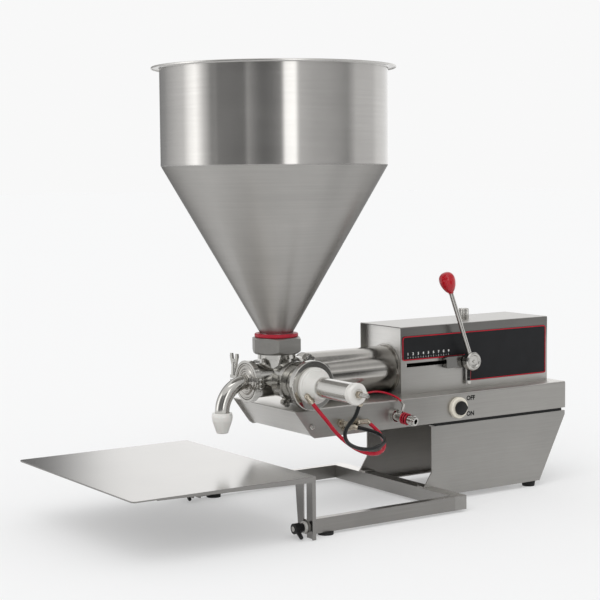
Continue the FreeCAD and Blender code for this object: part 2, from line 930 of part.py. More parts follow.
def make_nozzle():
    """The tapered white nozzle pushed on the spout's end."""
    top = on_z(spout_end_z, nozzle_x)
    bottom = on_z(spout_end_z - nozzle_height, nozzle_x)
    socket_end = on_z(spout_end_z - nozzle_socket, nozzle_x)
    outside = taper(nozzle_top_radius, nozzle_bottom_radius, top, bottom)
    socket = bar(spout_radius + slide_fit, top, socket_end)
    funnel = taper(spout_radius - spout_wall, nozzle_bore, socket_end, bottom)
    return cut_all(outside, [socket, funnel])


# Tray, pedestal, frame and feet


def tray_outline():
    """The tray side's outline at one Y, seen from the side."""
    front_bottom = tray_front + nose_run
    return [
        Vec(tray_front, 0, tray_top),
        Vec(tray_rear, 0, tray_top),
        Vec(tray_rear, 0, tray_bottom),
        Vec(front_bottom + nose_bevel, 0, tray_bottom),
        Vec(front_bottom, 0, tray_bottom + nose_bevel_height),
    ]


def make_tray():
    """The folded tray: top, two sides, rear and the inward bottom flanges."""
    width = Vec(0, tray_half_width * 2, 0)
    outside = plate_from([point - width * 0.5 for point in tray_outline()], width)
    edges = corner_edges(outside, lambda point, edge: along(edge, AXIS_X) and point.z > tray_top - 1)
    outside = outside.makeFillet(tray_round, edges)
    inner_half = tray_half_width - tray_sheet
    ahead = tray_front - tray_sheet
    middle_z = (tray_bottom + tray_top) / 2
    room = block(ahead, tray_rear - tray_sheet, -inner_half, inner_half,
                 tray_bottom + tray_sheet, tray_top - tray_sheet)
    slot_half = inner_half - tray_flange
    below = block(ahead, tray_rear - tray_flange, -slot_half, slot_half, tray_bottom - 1, middle_z)
    nose_open = block(ahead, tray_front + nose_run + nose_opening, -inner_half, inner_half,
                      tray_bottom - 1, tray_top - tray_sheet)
    holes = [bar(selector_hole, Vec(selector_x, -tray_half_width - 1, selector_z),
                 Vec(selector_x, -inner_half + 1, selector_z))]
    return cut_all(outside, [room, below, nose_open] + holes)


def make_tray_front_panel():
    """The slanted panel that closes the nose, set back from the side edges."""
    inner_half = tray_half_width - tray_sheet - seat_gap
    front_bottom = tray_front + nose_run
    run = nose_run / (tray_height - nose_bevel_height)
    top_z = tray_top - tray_sheet - seat_gap
    top = tray_front + nose_inset + (tray_top - top_z) * run
    low = front_bottom + nose_inset
    points = [
        Vec(top, -inner_half, top_z),
        Vec(top + tray_sheet, -inner_half, top_z),
        Vec(low + tray_sheet, -inner_half, tray_bottom + nose_bevel_height),
        Vec(low + nose_panel_foot, -inner_half, tray_bottom + tray_sheet),
        Vec(low + nose_panel_foot, -inner_half, tray_bottom),
        Vec(low, -inner_half, tray_bottom + nose_bevel_height - tray_sheet),
    ]
    return plate_from(points, Vec(0, inner_half * 2, 0))


def make_pedestal_panel():
    """The near side panel, with its turned-in top flange and front foot."""
    front = pedestal_front
    tip = front - flare_run
    foot_top = arm_top + pedestal_sheet
    behind = cross_front + cross_depth + part_gap
    outer = -pedestal_half_width
    inner = outer + pedestal_sheet
    points = [
        Vec(tip, outer, arm_top),
        Vec(behind, outer, arm_top),
        Vec(behind, outer, pedestal_bottom),
        Vec(pedestal_rear_foot, outer, pedestal_bottom),
        Vec(tray_rear, outer, pedestal_top - pedestal_rear_drop),
        Vec(tray_rear, outer, pedestal_top),
        Vec(front, outer, pedestal_top),
        Vec(front, outer, pedestal_kink),
    ]
    side = plate_from(points, Vec(0, pedestal_sheet, 0))
    flange_bottom_z = pedestal_top - pedestal_sheet
    flange_start = front + pedestal_flange_setback
    top_flange = block(flange_start, tray_rear, outer, inner + pedestal_flange,
                       flange_bottom_z, pedestal_top)
    foot = block(tip, behind - part_gap, outer, inner + pedestal_flange, arm_top, foot_top)
    floor = block(behind, pedestal_rear_foot, outer, inner + pedestal_flange,
                  pedestal_bottom, pedestal_bottom + pedestal_sheet)
    return joined([side, top_flange, foot, floor])


def make_pedestal_rear_plate():
    """The cross plate that ties the two side panels together."""
    half = pedestal_half_width - pedestal_sheet
    top = pedestal_top - pedestal_sheet
    bottom = pedestal_bottom + pedestal_sheet
    clear = half - pedestal_flange
    web = block(pedestal_plate_x, pedestal_plate_x + pedestal_sheet, -half, half, bottom, top)
    flange = block(pedestal_plate_x, pedestal_plate_x + pedestal_plate_flange, -clear, clear,
                   top - pedestal_sheet, top)
    return joined([web, flange])


def make_rubber_pads():
    """Rubber strips under the tray, and the round feet on the table."""
    inner = pedestal_half_width - pedestal_sheet
    strip = block(pedestal_front + 8.0, tray_rear - 6.0, -inner, -inner + 12.0, pedestal_top, tray_bottom)
    rear = taper(foot_radius, foot_radius - 1.5, Vec(rear_foot_x, -rear_foot_y, pedestal_bottom),
                 Vec(rear_foot_x, -rear_foot_y, 0))
    front = bar(foot_radius, Vec(arm_foot_x, -arm_centre, foot_height), Vec(arm_foot_x, -arm_centre, 0))
    pads = []
    for pad in (strip, rear, front):
        pads.extend(both_sides(pad))
    return group(pads)


def box_tube(x0, x1, y0, y1, z0, z1, axis):
    """A rectangular tube along X or Y, open at its ends."""
    wall = tube_wall
    outside = block(x0, x1, y0, y1, z0, z1)
    if axis == "X":
        return outside.cut(block(x0 - 1, x1 + 1, y0 + wall, y1 - wall, z0 + wall, z1 - wall))
    return outside.cut(block(x0 + wall, x1 - wall, y0 - 1, y1 + 1, z0 + wall, z1 - wall))


def make_frame_cross_bar():
    """The cross tube under the pedestal's front feet, with welded end plates."""
    half = arm_centre + arm_width / 2
    tube_part = box_tube(cross_front, cross_front + cross_depth, -half, half, foot_height, arm_top, "Y")
    ends = []
    for side in (-1, 1):
        face = side * half
        inner = side * (half - tube_wall)
        ends.append(block(cross_front, cross_front + cross_depth, min(face, inner), max(face, inner),
                          foot_height, arm_top))
    return joined([tube_part] + ends)


def make_frame_arms():
    """The two arms that run forward to the work plate, closed at the front."""
    front = plate_rear + lift_gap
    inner = arm_centre - arm_width / 2
    outer = arm_centre + arm_width / 2
    arm = box_tube(front, cross_front, -outer, -inner, foot_height, arm_top, "X")
    end = block(front, front + tube_wall * 2, -outer, -inner, foot_height, arm_top)
    return group(both_sides(joined([arm, end])))


def make_fasteners():
    """Studs at the arms' ends and button bolts on the tray's nose and rear."""
    front = plate_rear + lift_gap
    pieces = []
    stud = bar(stud_radius, Vec(front, -arm_centre, stud_z), Vec(front - stud_length, -arm_centre, stud_z))
    pieces.extend(both_sides(stud))
    for x, z in ((nose_bolt_x, nose_bolt_z),):
        head = turned([
            Vec(x, -tray_half_width, z),
            Vec(x + bolt_head_radius, -tray_half_width, z),
            Vec(x + bolt_head_radius * 0.8, -tray_half_width - bolt_head_height * 0.8, z),
            Vec(x, -tray_half_width - bolt_head_height, z),
        ], Vec(x, 0, z), AXIS_Y)
        socket = hexagon(4.0, 3.0, Vec(x, -tray_half_width - bolt_head_height - 1, z), AXIS_Y)
        pieces.extend(both_sides(head.cut(socket)))
    return group(pieces)


# Work plate and its clamping levers


def make_work_plate():
    """The work plate with tapered side lips and two forked legs."""
    half = plate_half_width
    under = plate_top - plate_sheet
    top = block(plate_front, plate_rear, -half, half, under, plate_top)
    edges = corner_edges(top, lambda point, edge: along(edge, AXIS_Z) and point.x < plate_front + 1)
    top = top.makeFillet(plate_corner, edges)
    lip = plate_from([
        Vec(plate_lip_start, -half, under),
        Vec(plate_rear, -half, under),
        Vec(plate_rear, -half, under - plate_lip_rear),
        Vec(plate_lip_start, -half, under - plate_lip_front),
    ], Vec(0, plate_sheet, 0))
    back = plate_rear - plate_sheet
    leg = plate_from([
        Vec(back, -leg_top_inner, under),
        Vec(back, -leg_bottom_inner, leg_clear + leg_short),
        Vec(back, -arm_centre, leg_clear + leg_short),
        Vec(back, -arm_centre, leg_clear),
        Vec(back, -leg_outer, leg_clear),
        Vec(back, -leg_outer, under),
    ], Vec(plate_sheet, 0, 0))
    slot_half = slot_width / 2
    slot_end = under - slot_top_drop
    round_z = slot_end - slot_half
    slot = block(back - 1, plate_rear + 1, -arm_centre - slot_half, -arm_centre + slot_half, -1, round_z)
    slot_round = bar(slot_half, Vec(back - 1, -arm_centre, round_z),
                     Vec(plate_rear + 1, -arm_centre, round_z))
    flange = block(back - 4.0, plate_rear, -leg_outer, -leg_outer + plate_sheet, leg_clear, under)
    leg = cut_all(leg, [slot, slot_round])
    return joined([top] + both_sides(lip) + both_sides(leg) + both_sides(flange))


def washer_start():
    """The X where the washers rest on the legs."""
    return plate_rear - plate_sheet - lift_gap


def make_lever_washers():
    """The white washers under the clamping levers."""
    start = washer_start()
    ring = tube(washer_radius, stud_radius + seat_gap, Vec(start, -arm_centre, stud_z),
                Vec(start - washer_thickness, -arm_centre, stud_z))
    return group(both_sides(ring))


def make_clamp_lever(side):
    """One clamping lever: hub, collar and arm, turning on its stud."""
    y = side * arm_centre
    start = washer_start() - washer_thickness - lift_gap
    mid = start - knob_neck
    end = start - knob_length
    hub = joined([
        bar(knob_radius - 1.5, Vec(start, y, stud_z), Vec(mid, y, stud_z)),
        bar(knob_radius, Vec(mid, y, stud_z), Vec(end, y, stud_z)),
    ])
    angle = math.radians(lever_arm_angle)
    middle_x = (mid + end) / 2
    root = Vec(middle_x, y, stud_z)
    tip = root - Vec(lever_arm_lean, lever_arm_length * math.sin(angle), lever_arm_length * math.cos(angle))
    arm = joined([taper(lever_arm_radius, lever_arm_tip, root, tip), Part.makeSphere(lever_arm_tip, tip)])
    bore_end = plate_rear + lift_gap - stud_length - 1
    bore = bar(stud_radius + slide_fit, Vec(start + 1, y, stud_z), Vec(bore_end, y, stud_z))
    return joined([hub, arm]).cut(bore)


# Box, label and the portion setting


def make_box_cover():
    """The folded cover: top and two sides, slotted for the portion block."""
    outside = block(box_front, box_rear, -box_half_width, box_half_width, tray_top, box_top)
    edges = corner_edges(outside, lambda point, edge: along(edge, AXIS_X) and point.z > box_top - 1)
    outside = outside.makeFillet(box_round, edges)
    inner = box_half_width - box_sheet
    room = block(box_front - 1, box_rear + 1, -inner, inner, tray_top - 1, box_top - box_sheet)
    slot = block(slot_front, slot_rear, -box_half_width - 1, -inner + 1,
                 slot_z - slot_height / 2, slot_z + slot_height / 2)
    hole = bar(speed_hole, Vec(speed_x, 0, box_top - box_sheet - 1), Vec(speed_x, 0, box_top + 1))
    return cut_all(outside, [room, slot, hole])


def make_box_end_panels():
    """The front and rear panels inside the cover."""
    half = box_half_width - box_sheet - seat_gap
    top = box_top - box_sheet - seat_gap
    front = block(panel_x, panel_x + box_sheet, -half, half, tray_top, top)
    front = front.cut(bar(bushing_radius, on_x(panel_x - 1), on_x(panel_x + box_sheet + 1)))
    rear_x = box_rear - rear_panel_inset - box_sheet
    rear = block(rear_x, rear_x + box_sheet, -half, half, tray_top, top)
    return group([front, rear])


def make_label_plate():
    """The label on the cover's near side, stepped round the slot."""
    y = -box_half_width
    points = [
        Vec(label_front, y, label_top),
        Vec(label_rear, y, label_top),
        Vec(label_rear, y, label_bottom),
        Vec(label_drop, y, label_bottom),
        Vec(label_drop, y, slot_z - slot_height / 2 - 3.0),
        Vec(slot_rear + 4.0, y, slot_z - slot_height / 2 - 3.0),
        Vec(slot_rear + 4.0, y, label_strip_bottom),
        Vec(label_front, y, label_strip_bottom),
    ]
    sheet = plate_from(points, Vec(0, -label_sheet, 0))
    corners = ((label_front, label_top), (label_rear, label_top), (label_rear, label_bottom),
               (label_drop, label_bottom), (label_front, label_strip_bottom))

    def is_corner(point, edge):
        return along(edge, AXIS_Y) and any(
            abs(point.x - x) < 0.1 and abs(point.z - z) < 0.1 for x, z in corners)

    return sheet.makeFillet(label_corner, corner_edges(sheet, is_corner))


block_back_y = -(box_half_width + label_sheet + lift_gap)
block_face_y = block_back_y - block_depth


def make_slide_block():
    """The portion block with its pointer and hanging stop pin."""
    half = block_height / 2
    body = block(block_front, block_rear, block_face_y, block_back_y, slot_z - half, slot_z + half)
    edges = corner_edges(body, lambda point, edge: along(edge, AXIS_Y))
    body = body.makeFillet(2.5, edges)
    pointer = plate_from([
        Vec(block_front + 1.0, block_face_y, slot_z + half - 6.0),
        Vec(block_front - 5.0, block_face_y, slot_z + half - 1.0),
        Vec(block_front + 1.0, block_face_y, slot_z + half - 1.0),
    ], Vec(0, 2.0, 0))
    face = Vec(hub_x, block_face_y - 1, slot_z)
    hole = bar(lock_stud_radius + slide_fit, face, Vec(hub_x, block_back_y + 1, slot_z))
    pin_y = (block_face_y + block_back_y) / 2
    pin_top = slot_z - half
    pin_end = Vec(pin_x, pin_y, pin_top - pin_drop + 4.0)
    pin = joined([
        bar(pin_radius - 0.7, Vec(pin_x, pin_y, pin_top), pin_end + AXIS_Z * 4.0),
        bar(pin_radius, pin_end + AXIS_Z * 4.0, pin_end),
        Part.makeSphere(pin_radius, pin_end),
    ])
    return group([joined([body, pointer]).cut(hole), pin])


def make_portion_sensor():
    """The guide nut and trip sensor that ride behind the slot, over the cam's path."""
    inner = -(box_half_width - box_sheet)
    start = inner + lift_gap
    nut = block(hub_x - 9.0, hub_x + 9.0, start, start + 6.0, slot_z - 8.0, slot_z + 8.0)
    neck_half = slot_height / 2 - lift_gap
    neck = block(hub_x - 26.0, hub_x - 10.0, block_back_y, start + 0.5,
                 slot_z - neck_half, slot_z + neck_half)
    side_half = drive_radius + 2.0
    shelf_y = -side_half - lift_gap * 2
    sensor = block(hub_x - 40.0, hub_x - 9.0, start, max(shelf_y, start + 4.0), slot_z - 6.0,
                   slot_z - 6.0 + sensor_height)
    hole = bar(lock_stud_radius + slide_fit, Vec(hub_x, start - 1, slot_z), Vec(hub_x, start + 9, slot_z))
    return joined([nut, sensor, neck]).cut(hole)


def lever_axis():
    """The direction of the locking lever's rod."""
    tilt = math.radians(lever_tilt)
    return Vec(-math.sin(tilt), 0, math.cos(tilt))


hub_back_y = block_face_y - lift_gap
hub_centre = Vec(hub_x, hub_back_y - hub_length / 2, slot_z)


def make_lever_hub():
    """The lever's hub and its locking stud through the block."""
    face_y = hub_back_y - hub_length
    drum = bar(hub_radius, Vec(hub_x, hub_back_y, slot_z), Vec(hub_x, face_y, slot_z))
    edges = corner_edges(drum, lambda point, edge: edge.BoundBox.XLength > hub_radius * 1.9)
    drum = drum.makeChamfer(1.5, edges)
    stud_end = -(box_half_width - box_sheet) + lift_gap + 5.0
    stud = bar(lock_stud_radius, Vec(hub_x, hub_back_y, slot_z), Vec(hub_x, stud_end, slot_z))
    seat = bar(lever_rod_radius, hub_centre, hub_centre + lever_axis() * (hub_radius + 5))
    return joined([drum, stud]).cut(seat)


def make_lever_rod():
    """The straight rod screwed into the hub."""
    axis = lever_axis()
    return bar(lever_rod_radius, hub_centre, hub_centre + axis * lever_rod_length)


def make_lever_ball():
    """The egg-shaped grip on the rod."""
    axis = lever_axis()
    centre = hub_centre + axis * (lever_rod_length + ball_half_length - 3.0)
    egg = Part.makeSphere(1.0)
    stretch = FreeCAD.Matrix()
    stretch.scale(Vec(ball_radius, ball_radius, ball_half_length))
    egg = egg.transformGeometry(stretch)
    egg.Placement = FreeCAD.Placement(centre, FreeCAD.Rotation(AXIS_Z, axis))
    socket = bar(lever_rod_radius, hub_centre, hub_centre + axis * lever_rod_length)
    return egg.cut(socket)


# Controls and fittings


def make_speed_knob():
    """The knurled knob that sets the speed, with its stem."""
    base = box_top + lift_gap
    knob = bar(speed_radius, Vec(speed_x, 0, base), Vec(speed_x, 0, base + speed_height))
    edges = corner_edges(knob, lambda point, edge: edge.BoundBox.XLength > speed_radius * 1.9)
    knob = knob.makeChamfer(1.2, edges)
    grooves = []
    count = 18
    for k in range(count):
        angle = 2 * math.pi * k / count
        x = speed_x + (speed_radius + 0.3) * math.cos(angle)
        y = (speed_radius + 0.3) * math.sin(angle)
        grooves.append(bar(0.8, Vec(x, y, base + 3.0), Vec(x, y, base + speed_height - 3.0)))
    stem = bar(speed_stem, Vec(speed_x, 0, base), Vec(speed_x, 0, base - box_sheet - 10.0))
    return joined([cut_all(knob, grooves), stem])


def make_selector_knob():
    """The black pointer knob on the tray's side."""
    y = -(tray_half_width + bezel_height + lift_gap)
    top = y - selector_height
    knob = bar(selector_radius, Vec(selector_x, y, selector_z), Vec(selector_x, top, selector_z))
    half = pointer_width / 2
    pointer = block(selector_x, selector_x + pointer_reach, top, y, selector_z - half, selector_z + half)
    stem = bar(3.0, Vec(selector_x, y, selector_z), Vec(selector_x, -tray_half_width + 6.0, selector_z))
    return joined([knob, pointer, stem])


def make_selector_bezel():
    """The pale ring round the selector."""
    outer = Vec(selector_x, -tray_half_width - bezel_height, selector_z)
    ring = tube(bezel_radius, 3.0 + 2.0, Vec(selector_x, -tray_half_width, selector_z), outer)
    edges = corner_edges(ring, lambda point, edge: edge.BoundBox.XLength > bezel_radius * 1.9
                         and point.y < -tray_half_width - 1)
    return ring.makeFillet(2.5, edges)


def make_control_valves():
    """The valve behind the selector and the one under the speed knob."""
    inner = -tray_half_width + tray_sheet
    half = selector_body / 2
    tall = selector_body_height / 2
    side = block(selector_x - half, selector_x + half, inner, inner + selector_body_depth,
                 selector_z - tall, selector_z + tall)
    shaft_end = Vec(selector_x, inner + 6.0, selector_z)
    side = side.cut(bar(3.0 + seat_gap, Vec(selector_x, inner - 1, selector_z), shaft_end))
    under = box_top - box_sheet
    half = valve_block / 2
    top = block(speed_x - half, speed_x + half, -half, half, under - valve_block_height, under)
    stem_room = bar(speed_stem + seat_gap, Vec(speed_x, 0, under - 14.0), Vec(speed_x, 0, under + 1))
    return group([side, top.cut(stem_room)])


def make_bulkhead_elbows():
    """The three air fittings on the tray's near side; two of them take a tube."""
    pieces = []
    for x, z, stand, route in zip(elbow_x, elbow_z, elbow_stand, (None, red_route, black_route)):
        face = Vec(x, -tray_half_width, z)
        out = Vec(x, -tray_half_width - stand, z)
        nut = hexagon(elbow_hex, elbow_hex_height, face, AXIS_Y * -1)
        stem = bar(elbow_radius, face, out)
        solids = [nut, stem]
        if route:
            mouth = route[-1]
            knee = mouth - (route[-2] - mouth).normalize() * elbow_mouth
            solids.append(Part.makeSphere(elbow_radius, out))
            solids.append(bar(elbow_radius, out, knee))
            solids.append(Part.makeSphere(elbow_radius, knee))
            solids.append(bar(elbow_radius, knee, mouth))
        behind = block(x - elbow_reach, x + elbow_reach, -tray_half_width, 0,
                       z - elbow_reach, z + elbow_reach)
        pieces.append(joined(solids).cut(behind))
    return group(pieces)


coupler_face = Vec(coupler_x, -tray_half_width, coupler_z)
coupler_way = Vec(*coupler_lean).normalize()


def nipple_knee():
    """Where the coupler's nipple turns to the thin tube, and where it stands on the coupler."""
    mouth = thin_route[-1]
    knee = mouth + (mouth - thin_route[-2]).normalize() * nipple_reach
    return knee, coupler_face + coupler_way * nipple_place


def make_air_coupler():
    """The stainless inlet coupler on the tray's side, with a nipple for the thin tube."""
    tip = coupler_face + coupler_way * coupler_length
    knee, root = nipple_knee()
    body = joined([
        bar(coupler_base_radius, coupler_face, coupler_face - AXIS_Y * coupler_base_length),
        bar(coupler_radius, coupler_face, tip),
        bar(coupler_radius + 1.5, tip - coupler_way * 9.0, tip - coupler_way * 4.0),
        bar(nipple_radius, root, knee),
        Part.makeSphere(nipple_radius, knee),
        bar(nipple_radius, knee, thin_route[-1]),
    ])
    inside = coupler_radius - 3.0
    reach = coupler_length
    behind = block(coupler_x - reach, coupler_x + reach, -tray_half_width, 0,
                   coupler_z - reach, coupler_z + reach)
    return cut_all(body, [bar(inside, tip - coupler_way * 20.0, tip + coupler_way), behind])


def make_coupler_rings():
    """The red turns of cord round the coupler."""
    rings = []
    knee, root = nipple_knee()
    nipple_room = bar(nipple_radius + seat_gap, root, knee)
    for place in ring_places:
        centre = coupler_face + coupler_way * place
        ring = Part.makeTorus(coupler_radius + ring_wire + seat_gap, ring_wire, centre, coupler_way)
        rings.append(ring.cut(nipple_room))
    return group(rings)


# Air tubes


def corner_radius(before, corner, after):
    """The arc that fits a corner: 0.45 of the shorter run over the tangent of half the turn."""
    way_in = corner - before
    way_out = after - corner
    turn = way_in.getAngle(way_out)
    return 0.45 * min(way_in.Length, way_out.Length) / math.tan(turn / 2), turn


def tube_path(points):
    """Straight runs joined by tangent arcs, with the smallest radius met."""
    edges = []
    start = points[0]
    radii = []
    for k in range(1, len(points) - 1):
        radius, turn = corner_radius(points[k - 1], points[k], points[k + 1])
        radii.append(radius)
        way_in = (points[k] - points[k - 1]).normalize()
        way_out = (points[k + 1] - points[k]).normalize()
        trim = radius * math.tan(turn / 2)
        first = points[k] - way_in * trim
        last = points[k] + way_out * trim
        inward = (way_out - way_in).normalize()
        middle = points[k] + inward * (radius / math.cos(turn / 2) - radius)
        edges.append(Part.LineSegment(start, first).toShape())
        edges.append(Part.Arc(first, middle, last).toShape())
        start = last
    edges.append(Part.LineSegment(start, points[-1]).toShape())
    return Part.Wire(edges), radii


def make_air_tube(name, points, radius):
    """A plain tube along its route; prints its radii, length and volume."""
    path, radii = tube_path(points)
    direction = points[1] - points[0]
    ring = Part.Wire([Part.Circle(points[0], direction, radius).toShape()])
    solid = path.makePipeShell([ring], True, True)
    expected = math.pi * radius ** 2 * path.Length
    print(name, "radii", [round(value) for value in radii], "smallest in diameters",
          round(min(radii) / (2 * radius), 1))
    print(name, "length", round(path.Length, 1), "volume ratio", round(solid.Volume / expected, 4))
    return solid


def main():
    """Build and write every sub-part."""
    os.makedirs("parts", exist_ok=True)
    near_panel = make_pedestal_panel()
    actuator_cap = make_actuator_cap()
    air_end_cap = make_air_end_cap()
    parts = {
        "hopper_barrel": make_hopper_barrel(),
        "hopper_cone": make_hopper_cone(),
        "hopper_outlet": make_hopper_outlet(),
        "hopper_gasket": make_gasket(),
        "union_nut": make_union_nut(),
        "valve_body": make_valve_body(),
        "barrel_end_cap": make_barrel_end_cap(),
        "barrel_clamp": make_clamp(*barrel_clamp_at, with_nut=False),
        "barrel_wing_nut": make_wing_nut(*barrel_clamp_at),
        "spout_clamp": make_clamp(*spout_clamp_at, with_nut=False),
        "spout_wing_nut": make_wing_nut(*spout_clamp_at),
        "cylinder_clamp": make_clamp(*cylinder_clamp_at, with_nut=True),
        "bonnet": make_bonnet(),
        "actuator_flange": make_actuator_flange(),
        "actuator_cap": actuator_cap,
        "air_barrel": make_air_barrel(),
        "air_end_cap": air_end_cap,
        "air_fittings": make_air_fittings(actuator_cap, air_end_cap),
        "valve_spool": group([make_spool(), make_spool_rod()]),
        "product_cylinder": make_product_cylinder(),
        "cylinder_ring": make_cylinder_ring(),
        "product_piston": make_product_piston(),
        "piston_seals": make_piston_seals(),
        "piston_rod": make_piston_rod(),
        "drive_piston": make_drive_piston(),
        "rod_bushing": make_rod_bushing(),
        "drive_cylinder": group([make_drive_cylinder(), make_drive_caps()]),
        "spout": make_spout(),
        "nozzle": make_nozzle(),
        "tray": make_tray(),
        "tray_front_panel": make_tray_front_panel(),
        "pedestal_panel_near": near_panel,
        "pedestal_panel_far": both_sides(near_panel)[1],
        "pedestal_rear_plate": make_pedestal_rear_plate(),
        "rubber_pads": make_rubber_pads(),
        "frame_cross_bar": make_frame_cross_bar(),
        "frame_arms": make_frame_arms(),
        "fasteners": make_fasteners(),
        "work_plate": make_work_plate(),
        "lever_washers": make_lever_washers(),
        "clamp_lever_near": make_clamp_lever(-1),
        "clamp_lever_far": make_clamp_lever(1),
        "box_cover": make_box_cover(),
        "box_end_panels": make_box_end_panels(),
        "label_plate": make_label_plate(),
        "slide_block": make_slide_block(),
        "portion_sensor": make_portion_sensor(),
        "lever_hub": make_lever_hub(),
        "lever_rod": make_lever_rod(),
        "lever_ball": make_lever_ball(),
        "speed_knob": make_speed_knob(),
        "selector_knob": make_selector_knob(),
        "selector_bezel": make_selector_bezel(),
        "control_valves": make_control_valves(),
        "bulkhead_elbows": make_bulkhead_elbows(),
        "air_coupler": make_air_coupler(),
        "coupler_rings": make_coupler_rings(),
        "red_tube": make_air_tube("red tube", red_route, red_tube_radius),
        "black_tube": make_air_tube("black tube", black_route, black_tube_radius),
        "thin_tube": make_air_tube("thin tube", thin_route, thin_tube_radius),
    }
    for name, shape in parts.items():
        assert shape.isValid(), name
        save(name, shape)
    print(len(parts), "parts, origin", origin)


main()
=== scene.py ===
import logging
import math
from collections.abc import Callable, Iterable, Sequence
from dataclasses import dataclass
from enum import Enum

import bmesh
import bpy
from mathutils import Matrix, Vector


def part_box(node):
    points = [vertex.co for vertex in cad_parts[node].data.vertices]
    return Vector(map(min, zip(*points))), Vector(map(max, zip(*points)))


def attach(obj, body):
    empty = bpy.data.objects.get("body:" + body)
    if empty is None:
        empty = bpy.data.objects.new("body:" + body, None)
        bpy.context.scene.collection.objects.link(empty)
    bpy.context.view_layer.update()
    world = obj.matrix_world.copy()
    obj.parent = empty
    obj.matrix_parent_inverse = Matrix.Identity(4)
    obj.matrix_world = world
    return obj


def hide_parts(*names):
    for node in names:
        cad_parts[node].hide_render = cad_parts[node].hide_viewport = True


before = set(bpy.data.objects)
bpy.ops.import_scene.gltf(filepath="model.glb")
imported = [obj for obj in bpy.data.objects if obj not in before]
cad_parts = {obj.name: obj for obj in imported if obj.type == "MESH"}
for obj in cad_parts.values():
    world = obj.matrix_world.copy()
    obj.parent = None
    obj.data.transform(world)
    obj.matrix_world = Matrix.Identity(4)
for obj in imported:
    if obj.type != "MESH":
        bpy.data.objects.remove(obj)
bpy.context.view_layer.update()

log = logging.getLogger("depositor")

MM = 0.001
UP = Vector((0, 0, 1))
ALONG = Vector((1, 0, 0))
NEARWARDS = Vector((0, -1, 0))
SHARP_ANGLE = 32.0
# the span of a normal over which painted light or shade by facing eases in
FACING_SPAN = (0.35, 0.9)


def mm(*values: float) -> Vector:
    """Return a point given in millimetres from the machine's origin, in metres."""
    return Vector(values) * MM


# The machine's own datum: the hopper's axis and the tray's near side, read from the frame


@dataclass(frozen=True)
class Datum:
    """The lines that the dressing is set out from, in metres."""

    hopper: Vector
    tray_near: float

    @classmethod
    def read(cls) -> "Datum":
        """Read the datum from the frame's own pieces.

        Returns:
            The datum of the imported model.
        """
        low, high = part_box("union_nut")
        middle = (low + high) / 2
        tray_low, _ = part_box("tray")
        return cls(hopper=Vector((middle.x, middle.y, 0.0)), tray_near=tray_low.y)


DATUM = Datum.read()


def at(x: float, y: float, z: float) -> Vector:
    """Return a point given in millimetres from the hopper's axis and the table."""
    return DATUM.hopper + mm(x, y, z)


# Node trees


